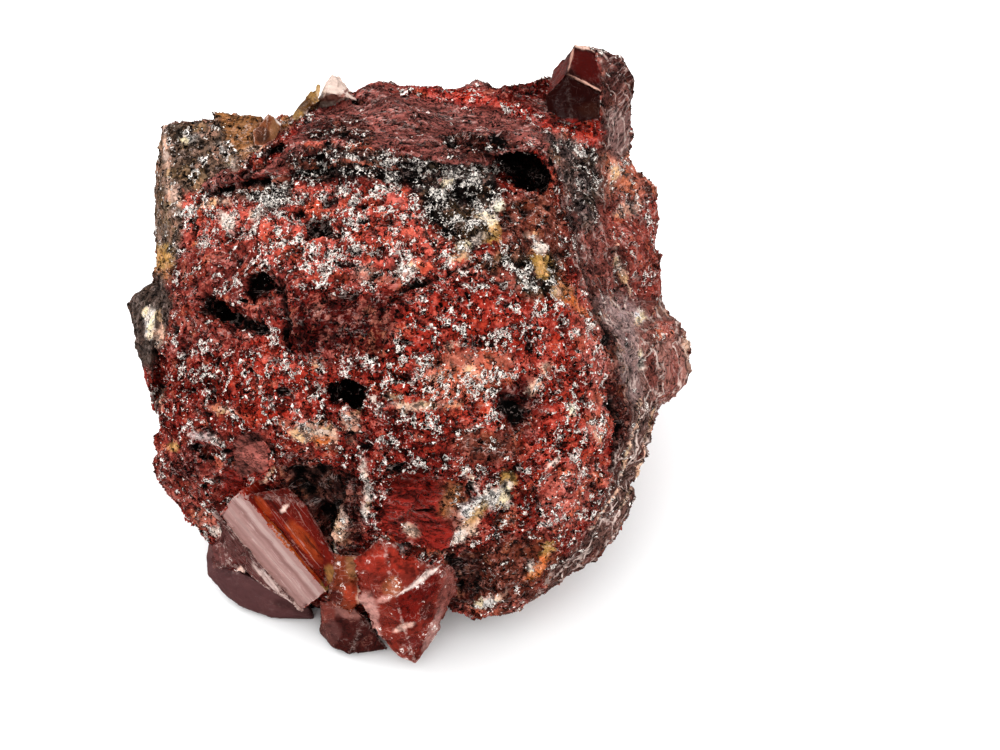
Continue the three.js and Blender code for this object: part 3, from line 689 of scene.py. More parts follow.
def painted(points, lie):
    # the crust's look at each point, first the sides that face away, then what shows from the front
    a, b, _ = sightedFrom(points)
    front = seenFront(points, lie)
    plain = {kind: np.array(looks["red"][kind], float) for kind in kinds}
    paint = {kind: np.tile(value, (len(points), 1)) if value.ndim else np.full(len(points), value)
             for kind, value in plain.items()}
    for name, size, seed, low, high in farLooks:
        lay(paint, (1 - front) * stepped(low, high, cloudNoise(points, size, seed)), looks[name], 0.9)
    spot = np.column_stack([a, b, a * 0])
    wide, fine = cloudNoise(spot, 7, 61), cloudNoise(spot, 3, 62)
    for n, (name, soft, ragged, outline) in enumerate(areas):
        edge = 0.6 * cloudNoise(spot, 8, 70 + n, 2) + 0.4 * wide + 0.3 * fine
        lay(paint, front * stepped(-soft, soft, toOutline(a, b, outline) + ragged * edge), looks[name])
    for name, x, y, length, width, turn, strength in marks:
        reach = 1 - toSpot(a, b, x, y, length, width, turn) + 0.8 * fine
        lay(paint, front * stepped(-0.3, 0.35, reach), looks[name], strength)
    for name, width, _, places in lines:
        reach = 1 - toLine(a, b, places) * frontChart["perMm"] / width + 0.6 * fine
        lay(paint, front * stepped(-0.25, 0.35, reach), looks[name])
    return paint, front


paint, front = painted(base, lie)
a, b, w = sightedFrom(base)
isIn = {name: pointLabel == n + 1 for n, name in enumerate(names)}
for name, look in farCrystals.items():
    lay(paint, (1 - front) * isIn[name], looks[look], 0.8)
polish = np.zeros(len(points))
for name in polished:
    polish[isIn[name]] = 1
print("crust painted")

# Pits: size of the cells they lie in, seed, least depth, what gaping crust adds, share of the cells,
# radius and width of the wall, mm
pitSizes = ((5.5, 21, 0.4, 1.4, 0.13, 1.7, 1.4), (2.6, 27, 0.2, 0.9, 0.22, 0.9, 0.7))

# How far each point stands out, from the crust's own breaks, pits, streaks and ridges
height = sum(facets(base, size, slope, seed) for size, slope, seed in crust["facets"])
skinned = paint["skin"]
grit = np.clip(1 - 0.8 * skinned - polish, 0, 1)
height *= 0.3 + 0.7 * grit
height += 0.2 * grit * smoothNoise(base, 1.1, 11)
for size, seed, least, more, share, radius, wall in pitSizes:
    near, _, _, cell = brokenCells(base, size, seed)
    pit = (cellNumber(cell, seed + 2) < share) * stepped(0, wall, radius - near)
    height -= grit * (least + more * paint["pits"]) * pit

# smooth skin: streaks along it, low ledges and a few small round holes
along = base @ np.column_stack([right, up, outward]) * [0.35, 1, 1]
smoothSkin = skinned * (1 - paint["veins"]) * (1 - polish)
ledges = 0.3 * np.round(2.2 * cloudNoise(along, 9, 35)) / 2.2
height += smoothSkin * (0.45 * cloudNoise(along, 4.5, 33) + ledges)
near, _, _, cell = brokenCells(base, 4.6, 37)
hole = 0.4 + 0.7 * cellNumber(cell, 38)
height -= smoothSkin * 1.2 * (cellNumber(cell, 39) < 0.3) * stepped(-0.3, 0.5, hole - near)

# veined side: thin ridges round shallow bowls, drawn out round the stone
away = (base - heart) @ np.column_stack([right, up, outward])
turn = np.arctan2(away[:, 1], away[:, 0] + 1e-9)
flow = np.column_stack([turn * 24, away[:, 2] * 1.1, np.hypot(away[:, 0], away[:, 1]) * 0.8])
flow[:, 2] += 0.35 * away[:, 2]
flow += 0.8 * np.column_stack([smoothNoise(base, 5, 81 + k) for k in range(3)])
_, border, _, cell = brokenCells(flow, 3.4, 41)
ridge = np.exp(-((border / 0.35) ** 2))
bowl = stepped(0, 1.3, border)
bowl = 0.45 * bowl * cellNumber(cell, 45)
height += paint["veins"] * (0.3 * ridge - bowl + 0.2 * smoothNoise(base, 2.2, 47))
# the crust opens a little round each crystal set in it
for name in glassy + ("flatPatch", "smallPatch"):
    near = onCrust & (depthIn(name, base) < 3)
    height[near] -= 1.1 * (1 - stepped(0, 3, depthIn(name, base[near])))
height = np.clip(height, -crust["most"] - crust["deeper"], crust["most"])

# creases, rims and hollows that show from the front; sunk creases, holes and caves also get painted shade
fine = cloudNoise(base, 2.6, 63)
dark = np.zeros(len(base))
for _, wide, rise, places in lines:
    nearLine = stepped(-0.3, 0.6, 1 - toLine(a, b, places) * frontChart["perMm"] / wide + 0.4 * fine)
    height += onCrust * front * rise * nearLine
    dark = np.maximum(dark, front * nearLine * (0.7 if rise < 0 else 0))
for x, y, long, wide, turned, depth in holes:
    reach = toSpot(a, b, x, y, long, wide, turned) - 0.7 * fine
    height -= onCrust * front * depth * stepped(-0.05, 0.7, 1.05 - reach)
    dark = np.maximum(dark, front * stepped(0.0, 0.3, 1.0 - reach))
ragged = 1.6 * cloudNoise(base, 1.8, 64)
for depth, darkness, outline in caves:
    reach = toOutline(a, b, outline) + 0.4 + 0.7 * fine + ragged
    height -= onCrust * front * depth * stepped(-0.2, 1.6, reach)
    dark = np.maximum(dark, darkness * front * stepped(0.1, 0.9, reach))
# flat crystals keep their faces, with low steps and worn edges
for name in names:
    if not isIn[name].any():
        continue
    hullPoints, hullFaces = hulls[name]
    normal, _ = faceNormals(hullPoints, hullFaces)
    at = base[isIn[name]]
    away = np.abs(at @ normal.T - (normal * hullPoints[hullFaces[:, 0]]).sum(1))
    own = normal[away.argmin(1)]
    other = np.where((own @ normal.T) > 0.97, 99.0, away)
    worn = stepped(-1.6, -0.1, -other.min(1)) * (0.5 + 0.5 * cloudNoise(at, 2.4, 51))
    steps = np.round(2.5 * cloudNoise(at, 7, 53)) / 2.5
    rough = 0.14 if name in polished else 0.5
    height[isIn[name]] = rough * steps - 0.8 * worn + (rough - 0.1) * 0.9 * facets(at, 3.0, 0.5, 57)
    lie[isIn[name]] = own
points = base + height[:, None] * lie

# crystals that are pieces of their own: the crust sinks into a seat under each
sink = {"clearSmall": 0.85, "clearTop": 0.9, "clearGold": 0.85, "horn": 0.6, "prism": 0.5,
        "bottomCrystal": 0.5, "darkBlock": 0.45, "knob": 0.5}
for name in sink:
    deep = corners[name].mean(0)
    deep = deep + 8 * (heart - deep) / np.linalg.norm(heart - deep)
    points[isIn[name]] += sink[name] * (deep - points[isIn[name]])
points[:, 2] = np.maximum(points[:, 2], 0)
print("crust broken up")


def relaxed(points, rounds):
    points = points.copy()
    for _ in range(rounds):
        points += 0.7 * (neighbourMean(points, edges) - points)
    return points


# painted shade in hollows: points go dark by how far they lie below the crust smoothed a little, and
# smoothed much
smoothClose = relaxed(points, 5)
rise = ((points - smoothClose) * lie).sum(1)
riseWide = ((points - relaxed(smoothClose, 40)) * lie).sum(1)
hollow = 0.5 * stepped(0.08, 0.5, -rise) + 0.7 * stepped(0.4, 2.0, -riseWide)
hollow = np.clip(hollow * (1 - 0.6 * paint["skin"]), 0, 0.85)
hollow = np.maximum(hollow, dark)
hollow[pointLabel > 0] *= 0.3


# Meshes
def withoutSize(values):
    return np.ascontiguousarray(values, dtype=np.float32).ravel()


def makePiece(name, points, faces, values, uv, material, smooth=True, sharp=None):
    data = bpy.data.meshes.new(name)
    data.vertices.add(len(points))
    data.vertices.foreach_set("co", withoutSize(points / 1000))
    data.loops.add(faces.size)
    data.loops.foreach_set("vertex_index", faces.ravel().astype(np.int32))
    data.polygons.add(len(faces))
    data.polygons.foreach_set("loop_start", np.arange(0, faces.size, 3, dtype=np.int32))
    data.polygons.foreach_set("use_smooth", np.full(len(faces), smooth))
    data.update(calc_edges=True)
    data.validate()
    for key, value in values.items():
        if value.ndim == 2:
            layer = data.attributes.new(key, "FLOAT_COLOR", "POINT")
            layer.data.foreach_set("color", withoutSize(np.column_stack([value, np.ones(len(value))])))
        else:
            layer = data.attributes.new(key, "FLOAT", "POINT")
            layer.data.foreach_set("value", withoutSize(value))
    data.uv_layers.new(name="OFBake")
    data.uv_layers["OFBake"].data.foreach_set("uv", withoutSize(uv))
    if sharp:
        data.set_sharp_from_angle(angle=math.radians(sharp))
    data.materials.append(material)
    piece = bpy.data.objects.new(name, data)
    bpy.context.scene.collection.objects.link(piece)
    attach(piece, "root")
    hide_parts("calcite_lump")


def chartUv(points, faces):
    # six charts by direction from the heart, the front one the largest
    axes = np.array([outward, -outward, right, -right, up, -up])
    sides = np.array([right, right, up, up, right, right])
    tops = np.array([up, up, outward, outward, outward, outward])
    boxes = ((0, 0, 0.62), (0.63, 0.0, 0.3), (0.63, 0.315, 0.3), (0.63, 0.63, 0.3), (0.0, 0.63, 0.3),
             (0.315, 0.63, 0.3))
    away = points[faces].mean(1) - heart
    chart = (away @ axes.T).argmax(1)
    uv = np.zeros((len(faces), 3, 2))
    corner = points[faces] - heart
    for n, (x, y, size) in enumerate(boxes):
        of = chart == n
        depth = np.maximum(corner[of] @ axes[n], 1e-3)
        u = np.arctan2(corner[of] @ sides[n], depth) * 4 / math.pi
        v = np.arctan2(corner[of] @ tops[n], depth) * 4 / math.pi
        uv[of] = np.stack([x + size * (0.5 + 0.46 * u), y + size * (0.5 + 0.46 * v)], axis=2)
    return np.clip(uv, 0, 1)


# Shader building blocks
def addNode(tree, kind, **settings):
    made = tree.nodes.new(kind)
    for key, value in settings.items():
        setattr(made, key, value)
    return made


def feed(tree, socket, source):
    if isinstance(source, bpy.types.NodeSocket):
        tree.links.new(source, socket)
    else:
        socket.default_value = source
    return socket


def fed(tree, made, sources):
    for key, source in sources.items():
        feed(tree, made.inputs[key], source)
    return made


def calc(tree, operation, first, second=0.5, third=None):
    made = addNode(tree, "ShaderNodeMath", operation=operation)
    given = {0: first, 1: second} if third is None else {0: first, 1: second, 2: third}
    return fed(tree, made, given).outputs[0]


def times(tree, first, second):
    return calc(tree, "MULTIPLY", first, second)


def timesPlus(tree, first, second, third):
    return calc(tree, "MULTIPLY_ADD", first, second, third)


def larger(tree, first, second):
    return calc(tree, "MAXIMUM", first, second)


def blendColour(tree, share, under, over):
    made = addNode(tree, "ShaderNodeMix", data_type="RGBA")
    made.clamp_factor = True
    return fed(tree, made, {"Factor": share, 6: under, 7: over}).outputs[2]


def ease(tree, value, low, high):
    made = addNode(tree, "ShaderNodeMapRange", interpolation_type="SMOOTHSTEP")
    return fed(tree, made, {"Value": value, "From Min": low, "From Max": high}).outputs["Result"]


def noise(tree, where, scale, detail=2.0, rough=0.55, distortion=0.0):
    made = addNode(tree, "ShaderNodeTexNoise")
    return fed(tree, made, {"Vector": where, "Scale": scale, "Detail": detail, "Roughness": rough,
                            "Distortion": distortion}).outputs["Fac"]


def cells(tree, where, scale, feature="F1"):
    made = addNode(tree, "ShaderNodeTexVoronoi", feature=feature)
    return fed(tree, made, {"Vector": where, "Scale": scale})


def vectorMath(tree, operation, first, second=None):
    made = addNode(tree, "ShaderNodeVectorMath", operation=operation)
    return fed(tree, made, {0: first} if second is None else {0: first, 1: second})


def scaled(tree, source, by):
    return fed(tree, vectorMath(tree, "SCALE", source), {"Scale": by}).outputs[0]


def readValue(tree, name, output="Fac"):
    return addNode(tree, "ShaderNodeAttribute", attribute_name=name).outputs[output]


def separate(tree, source):
    made = addNode(tree, "ShaderNodeSeparateColor")
    feed(tree, made.inputs[0], source)
    return made.outputs


def stoneSpace(tree):
    # millimetres in the stone's own space
    where = addNode(tree, "ShaderNodeTexCoord").outputs["Object"]
    return scaled(tree, where, 1000)


def startGroup(name, inputs, outputs):
    tree = bpy.data.node_groups.new(name, "ShaderNodeTree")
    for socket, kind, default in inputs:
        made = tree.interface.new_socket(name=socket, in_out="INPUT", socket_type=kind)
        if default is not None:
            made.default_value = default
    for socket, kind in outputs:
        tree.interface.new_socket(name=socket, in_out="OUTPUT", socket_type=kind)
    return tree, tree.nodes.new("NodeGroupInput").outputs, tree.nodes.new("NodeGroupOutput").inputs


def useGroup(tree, group, **inputs):
    made = addNode(tree, "ShaderNodeGroup", label=group.name, node_tree=group)
    return fed(tree, made, inputs).outputs


number, colour, vector = "NodeSocketFloat", "NodeSocketColor", "NodeSocketVector"


def line(tree, value, level, width):
    # 1 where a noise passes a level, so it draws curved strokes
    away = calc(tree, "ABSOLUTE", calc(tree, "SUBTRACT", value, level))
    return ease(tree, away, width, width * 0.4)


def sugarGroup():
    # Broken calcite sugar round one colour: tones of its crystals, white strokes, partly white calcite and
    # partly painted glints, with dark gaps of painted shade beside them
    tree, given, out = startGroup("calciteSugar", (
        ("Tint", colour, (0.2, 0.02, 0.015, 1)), ("Fleck And Glint Share", number, 0.5), ("Gap Shade Share", number, 0.5),
    ), (("Color", colour), ("Flecks And Glints", number), ("Gap Shade", number), ("Height", number)))
    where = stoneSpace(tree)
    bent = fed(tree, addNode(tree, "ShaderNodeTexNoise"), {"Vector": where, "Scale": 1.0})
    bentWhere = vectorMath(tree, "ADD", where, scaled(tree, bent.outputs["Color"], 1.1)).outputs[0]
    large = cells(tree, bentWhere, 0.30)
    small = cells(tree, bentWhere, 0.75)
    tiny = cells(tree, bentWhere, 1.6)
    tones = [separate(tree, c.outputs["Color"]) for c in (large, small, tiny)]
    tone = timesPlus(tree, tones[0][0], 0.36, times(tree, tones[1][0], 0.36))
    tone = timesPlus(tree, tones[2][0], 0.22, tone)
    tone = timesPlus(tree, noise(tree, where, 0.35, 3, 0.65, 0.4), 0.9, calc(tree, "SUBTRACT", tone, 0.42))
    # a tint has a darker and a brighter kin of its own
    tint = given["Tint"]
    shade = blendColour(tree, ease(tree, tone, 0.2, 0.45), scaled(tree, tint, 0.22), tint)
    bright = vectorMath(tree, "MINIMUM", scaled(tree, tint, 1.7), (0.95, 0.9, 0.86)).outputs[0]
    bright = blendColour(tree, 0.3, bright, (0.6, 0.3, 0.23, 1))
    shade = blendColour(tree, ease(tree, tone, 0.52, 0.8), shade, bright)
    # some crystals lean to orange, some to mauve
    for channel, turned in ((1, (1.12, 1.1, 0.7)), (2, (0.85, 1.05, 1.25))):
        lean = times(tree, ease(tree, tones[0][channel], 0.72, 0.9), 0.6)
        shade = blendColour(tree, lean, shade, vectorMath(tree, "MULTIPLY", shade, turned).outputs[0])
    # strokes gather in clusters, each white one (partly a painted glint) with a dark rim of painted shade
    # along it
    gather = ease(tree, noise(tree, where, 0.22, 4, 0.72), 0.4, 0.62)
    curl = noise(tree, bentWhere, 0.8, 1, 0.5, 0.5)
    cross = noise(tree, bentWhere, 1.05, 1, 0.5, 0.9)
    share = times(tree, given["Fleck And Glint Share"], timesPlus(tree, gather, 1.05, 0.08))
    stroke = larger(tree, line(tree, curl, 0.5, 0.05), line(tree, cross, 0.5, 0.045))
    held = ease(tree, timesPlus(tree, tones[1][1], 0.55, share), 0.76, 0.8)
    chip = ease(tree, timesPlus(tree, share, 0.2, tones[2][1]), 1.07, 1.09)
    flecksAndGlints = larger(tree, times(tree, stroke, held), chip)
    share = times(tree, given["Gap Shade Share"], timesPlus(tree, gather, 0.7, 0.35))
    rim = larger(tree, line(tree, curl, 0.585, 0.05), line(tree, cross, 0.58, 0.048))
    opened = ease(tree, timesPlus(tree, tones[1][2], 0.55, share), 0.47, 0.57)
    chip = ease(tree, timesPlus(tree, share, 0.45, tones[2][2]), 1.1, 1.13)
    gapShade = larger(tree, times(tree, rim, larger(tree, opened, held)), chip)
    feed(tree, out["Color"], shade)
    feed(tree, out["Flecks And Glints"], flecksAndGlints)
    feed(tree, out["Gap Shade"], gapShade)
    # each crystal's top leans its own way
    rise = timesPlus(tree, gapShade, -0.35, times(tree, flecksAndGlints, 0.1))
    for c, size in ((large, 0.4), (small, 0.4), (tiny, 0.28)):
        way = vectorMath(tree, "SUBTRACT", bentWhere, c.outputs["Position"])
        lean = vectorMath(tree, "SUBTRACT", c.outputs["Color"], (0.5, 0.5, 0.5))
        dot = vectorMath(tree, "DOT_PRODUCT", way.outputs[0], lean.outputs[0]).outputs["Value"]
        rise = timesPlus(tree, dot, size, rise)
    feed(tree, out["Height"], rise)
    return tree


sugar = sugarGroup()


def skinGroup():
    # Stone skin: smooth tone with fine streaks along one way and a few white scratches
    tree, given, out = startGroup("stoneSkin", (
        ("Vector", vector, None), ("Tint", colour, (0.15, 0.04, 0.04, 1)), ("Scratch Share", number, 0.4),
    ), (("Color", colour), ("Scratches", number), ("Height", number)))
    laid = given["Vector"]
    wide = noise(tree, laid, 0.2, 4, 0.6)
    fine = noise(tree, laid, 1.2, 4, 0.7)
    tone = timesPlus(tree, wide, 0.9, times(tree, fine, 0.75))
    tone = calc(tree, "SUBTRACT", tone, 0.325)
    tint = given["Tint"]
    shade = blendColour(tree, ease(tree, tone, 0.3, 0.52), scaled(tree, tint, 0.25), tint)
    shade = blendColour(tree, ease(tree, tone, 0.54, 0.76), shade, scaled(tree, tint, 1.7))
    streak = line(tree, noise(tree, laid, 0.9, 4, 0.7, 0.4), 0.45, 0.03)
    shade = blendColour(tree, times(tree, streak, 0.75), shade, scaled(tree, tint, 0.06))
    scratch = line(tree, noise(tree, laid, 0.7, 3, 0.7, 0.5), 0.5, 0.03)
    scratch = times(tree, scratch, ease(tree, noise(tree, laid, 0.4, 2, 0.6), 0.46, 0.62))
    scratch = times(tree, scratch, given["Scratch Share"])
    feed(tree, out["Color"], shade)
    feed(tree, out["Scratches"], scratch)
    feed(tree, out["Height"], timesPlus(tree, fine, 0.45, times(tree, streak, -0.3)))
    return tree


skin = skinGroup()


def webGroup():
    # A web of thin pale veins, each cell between them with a tone of its own
    tree, given, out = startGroup("veinWeb", (
        ("Vector", vector, None), ("Scale", number, 0.3), ("Width", number, 0.1),
    ), (("Veins", number), ("Cell Tone", number), ("Height", number)))
    bent = addNode(tree, "ShaderNodeTexNoise")
    fed(tree, bent, {"Vector": given["Vector"], "Scale": 0.5, "Detail": 3})
    where = vectorMath(tree, "ADD", given["Vector"], scaled(tree, bent.outputs["Color"], 2.2)).outputs[0]
    border = cells(tree, where, 0.3, "DISTANCE_TO_EDGE")
    middles = cells(tree, where, 0.3)
    for made in (border, middles):
        feed(tree, made.inputs["Scale"], given["Scale"])
    edge = calc(tree, "DIVIDE", border.outputs["Distance"], given["Width"])
    veins = ease(tree, edge, 0.9, 0.3)
    patchy = ease(tree, noise(tree, given["Vector"], 0.3, 3, 0.65), 0.4, 0.58)
    feed(tree, out["Veins"], times(tree, veins, patchy))
    feed(tree, out["Cell Tone"], separate(tree, middles.outputs["Color"])[0])
    rise = timesPlus(tree, ease(tree, edge, 4.0, 0.0), 0.35, times(tree, veins, 0.3))
    feed(tree, out["Height"], rise)
    return tree


web = webGroup()


def mixValue(tree, share, under, over):
    made = addNode(tree, "ShaderNodeMix", data_type="FLOAT")
    return fed(tree, made, {"Factor": share, 2: under, 3: over}).outputs[0]


def startMaterial(name):
    material = bpy.data.materials.new(name)
    material.use_nodes = True
    return material, material.node_tree, material.node_tree.nodes["Principled BSDF"]


def addBump(tree, shader, height, strength):
    bump = addNode(tree, "ShaderNodeBump")
    fed(tree, bump, {"Strength": strength, "Distance": 0.001, "Height": height})
    feed(tree, shader.inputs["Normal"], bump.outputs["Normal"])


# near black, for painted shade in gaps and hollows
paintedShadeColour = (0.002, 0.0007, 0.0006, 1)


def crustMaterial(name, grains=False):
    material, tree, shader = startMaterial(name)
    tint = readValue(tree, "tint", "Color")
    smoothness = readValue(tree, "skin")
    veined = readValue(tree, "veins")
    grit = useGroup(tree, sugar, **{
        "Tint": tint, "Fleck And Glint Share": readValue(tree, "spark"), "Gap Shade Share": readValue(tree, "pits")})
    shade, height = grit["Color"], grit["Height"]
    if grains:
        tone = readValue(tree, "tone")
        shade = blendColour(tree, ease(tree, tone, 0.18, 0.0), shade, scaled(tree, tint, 0.2))
        paler = times(tree, ease(tree, tone, 0.6, 1.0), 0.4)
        shade = blendColour(tree, paler, shade, scaled(tree, tint, 1.9))
    else:
        bed = useGroup(tree, skin, **{
            "Vector": readValue(tree, "streaks", "Vector"), "Tint": tint,
            "Scratch Share": ease(tree, readValue(tree, "spark"), 0.0, 0.25)})
        # skin gives way to grit along a ragged border
        ragged = timesPlus(tree, noise(tree, stoneSpace(tree), 0.6, 3, 0.7), 0.8,
                      calc(tree, "SUBTRACT", smoothness, 0.4))
        onSkin = ease(tree, ragged, 0.35, 0.65)
        shade = blendColour(tree, onSkin, shade, bed["Color"])
        height = mixValue(tree, onSkin, height, bed["Height"])
        net = useGroup(tree, web, **{
            "Vector": readValue(tree, "flow", "Vector"), "Scale": 0.27, "Width": 0.075})
        deeper = times(tree, ease(tree, net["Cell Tone"], 0.4, 0.95), times(tree, veined, 0.7))
        deep = vectorMath(tree, "MULTIPLY", shade, (0.7, 0.32, 0.3)).outputs[0]
        shade = blendColour(tree, deeper, shade, deep)
        veins = times(tree, net["Veins"], veined)
        height = timesPlus(tree, times(tree, net["Height"], veined), 0.7, height)
    # painted shade: gaps and hollows go near black
    shade = blendColour(tree, grit["Gap Shade"], shade, paintedShadeColour)
    hollow = readValue(tree, "hollow")
    shade = blendColour(tree, ease(tree, hollow, 0.1, 0.9), shade, paintedShadeColour)
    if not grains:
        shade = blendColour(tree, times(tree, bed["Scratches"], 0.4), shade, (0.8, 0.62, 0.58, 1))
        shade = blendColour(tree, times(tree, veins, 0.85), shade, (0.72, 0.57, 0.52, 1))
    # white flecks, partly painted glints, and white grains, none deep in hollows
    whiteAndGlint = times(tree, grit["Flecks And Glints"], ease(tree, hollow, 0.8, 0.3))
    if grains:
        chip = timesPlus(tree, readValue(tree, "spark"), 0.1, tone)
        whiteAndGlint = larger(tree, whiteAndGlint, ease(tree, chip, 1.02, 1.03))
    shade = blendColour(tree, whiteAndGlint, shade, (1.0, 0.94, 0.89, 1))
    feed(tree, shader.inputs["Base Color"], shade)
    rough = timesPlus(tree, noise(tree, stoneSpace(tree), 1.4, 2), 0.3, 0.14)
    rough = timesPlus(tree, larger(tree, grit["Gap Shade"], hollow), 0.5, rough)
    feed(tree, shader.inputs["Roughness"], rough)
    addBump(tree, shader, height, 0.85)
    shader.inputs["Specular IOR Level"].default_value = 0.2
    return material


crustStone = crustMaterial("crustStone")
print("materials made")

values = dict(paint)
values["hollow"] = hollow
values["flow"] = flow
values["streaks"] = along + paint["veins"][:, None] * (flow - along)
faceSmooth = (paint["skin"] + polish)[faces].mean(1) > 0.5
makePiece("crust", points, faces, values, chartUv(points, faces), crustStone, faceSmooth, sharp=50)
print("crust made:", len(faces), "triangles")


# Glassy crystals: closed solids with cleavage steps, worn edges and, on some, fine ridges along them.
# Each has its longest triangle side, steps, wear and ridges in mm, its plain colour and its marks: a
# colour, middle, half length, half width and turn, in quarter millimetres like the crust's
crystalLooks = {
    # the horn's upper and left faces are marked lighter than its dark front by how they face the light,
    # painted light; its pale edge lines are chipped edges
    "horn": (0.8, 0.15, 0.3, 0.0, (0.018, 0.002, 0.0015), (
        ((0.06, 0.004, 0.003), 592, 68, 32, 14, -25), ((0.1, 0.015, 0.012), 554, 78, 8, 28, -32),
        ((0.3, 0.04, 0.03), 612, 92, 12, 7, -30), ((0.66, 0.45, 0.38), 602, 50, 30, 3, -12),
        ((0.45, 0.25, 0.2), 570.5, 60, 1.6, 13, -13), ((0.6, 0.35, 0.28), 586, 83, 20, 1.4, -26),
        ((0.04, 0.012, 0.007), 586, 110, 12, 7, 0), ((0.2, 0.09, 0.08), 618, 90, 14, 14, 0))),
    "brownRhomb": (0.6, 0.12, 0.25, 0.0, (0.23, 0.075, 0.03), (
        ((0.36, 0.17, 0.08), 275, 130, 5, 12, 0), ((0.95, 0.85, 0.8), 277, 118, 10, 2.5, -55),
        ((0.09, 0.03, 0.014), 262, 134, 7, 9, 0), ((0.75, 0.55, 0.45), 266, 146, 12, 1.5, 10))),
    "hornFoot": (0.8, 0.15, 0.3, 0.0, (0.018, 0.002, 0.0015), (
        ((0.028, 0.007, 0.004), 590, 110, 14, 8, 0), ((0.2, 0.012, 0.008), 566, 122, 14, 3, 10))),
    # the prism's orange face and the amberFace: orange turning golden lower down, partly their own colour,
    # partly a painted glow of light through them
    "prism": (0.66, 0.12, 0.4, 0.05, (0.33, 0.024, 0.008), (
        ((0.42, 0.085, 0.018), 296, 546, 42, 9, -49), ((0.3, 0.16, 0.05), 336, 580, 16, 16, 0),
        ((0.1, 0.006, 0.004), 300, 520, 50, 5, -49), ((0.75, 0.5, 0.44), 284, 510, 8, 4, 50),
        ((0.2, 0.018, 0.012), 262, 496, 20, 10, 20))),
    "amberFace": (0.7, 0.16, 0.3, 0.08, (0.165, 0.011, 0.005), (
        ((0.11, 0.008, 0.004), 278, 496, 34, 16, -30), ((0.33, 0.05, 0.011), 304, 542, 26, 8, -50),
        ((0.13, 0.008, 0.004), 312, 520, 26, 5, -55), ((0.42, 0.2, 0.07), 336, 578, 15, 9, -50),
        ((0.85, 0.6, 0.52), 284, 509, 6, 2.5, 45), ((0.34, 0.05, 0.014), 262, 506, 12, 5, -50))),
    "prismFoot": (0.8, 0.22, 0.35, 0.2, (0.15, 0.06, 0.056), (
        ((0.6, 0.42, 0.38), 300, 606, 10, 6, 0), ((0.6, 0.44, 0.41), 276, 588, 32, 3.5, -44))),
    "bottomCrystal": (0.7, 0.35, 0.45, 0.0, (0.21, 0.026, 0.016), (
        ((0.33, 0.035, 0.02), 388, 562, 40, 14, 4), ((0.36, 0.1, 0.045), 392, 588, 10, 12, 0),
        ((0.13, 0.007, 0.004), 422, 592, 26, 14, 38), ((0.18, 0.011, 0.006), 408, 608, 17, 15, 0),
        ((0.24, 0.075, 0.062), 448, 592, 9, 34, -14), ((0.36, 0.18, 0.16), 434, 632, 5, 24, -24),
        ((0.56, 0.28, 0.245), 369, 616, 9, 28, 14), ((0.6, 0.28, 0.24), 384, 600, 8, 4, 20),
        ((0.1, 0.01, 0.006), 428, 612, 8, 12, -20), ((0.16, 0.02, 0.016), 414, 645, 9, 7, 0),
        ((0.9, 0.72, 0.66), 421, 581, 29, 2.2, 36), ((0.75, 0.45, 0.38), 404, 628, 12, 3, 20),
        ((0.7, 0.5, 0.45), 378, 640, 26, 2.2, -44))),
    "clearSmall": (0.7, 0.3, 0.35, 0.0, (0.24, 0.075, 0.03), (
        ((0.9, 0.8, 0.74), 276, 117, 16, 3, 45), ((0.35, 0.17, 0.06), 256, 136, 14, 8, 0))),
    "clearTop": (0.7, 0.3, 0.35, 0.0, (0.86, 0.68, 0.6), (
        ((0.3, 0.12, 0.1), 345, 92, 16, 1.4, 48), ((0.4, 0.18, 0.14), 332, 98, 16, 4, 10))),
    "clearGold": (0.7, 0.35, 0.4, 0.0, (0.4, 0.22, 0.07), (
        ((0.75, 0.5, 0.2), 322, 88, 7, 8, 0), ((0.16, 0.07, 0.02), 304, 104, 10, 8, -40))),
    "darkBlock": (0.9, 0.1, 0.3, 0.0, (0.095, 0.036, 0.037), (
        ((0.15, 0.065, 0.06), 222, 548, 18, 16, 0), ((0.06, 0.02, 0.02), 300, 608, 26, 6, -10))),
    "stepLump": (0.8, 0.4, 0.7, 0.0, (0.13, 0.045, 0.042), (
        ((0.07, 0.008, 0.007), 236, 570, 16, 8, 10), ((0.75, 0.5, 0.42), 242, 572, 6, 4, 0))),
    "amberBridge": (0.8, 0.4, 0.5, 0.0, (0.24, 0.045, 0.018), (
        ((0.38, 0.16, 0.07), 353, 568, 9, 14, 0), ((0.36, 0.05, 0.02), 352, 594, 10, 10, 0),
        ((0.7, 0.45, 0.35), 358, 592, 2, 12, 0), ((0.1, 0.015, 0.01), 336, 598, 8, 8, 0))),
    "knob": (0.9, 0.22, 0.4, 0.0, (0.055, 0.009, 0.007), (
        ((0.24, 0.1, 0.085), 345, 606, 18, 14, -30), ((0.17, 0.04, 0.03), 326, 612, 9, 16, 0),
        ((0.11, 0.04, 0.036), 330, 634, 10, 14, -20))),
}
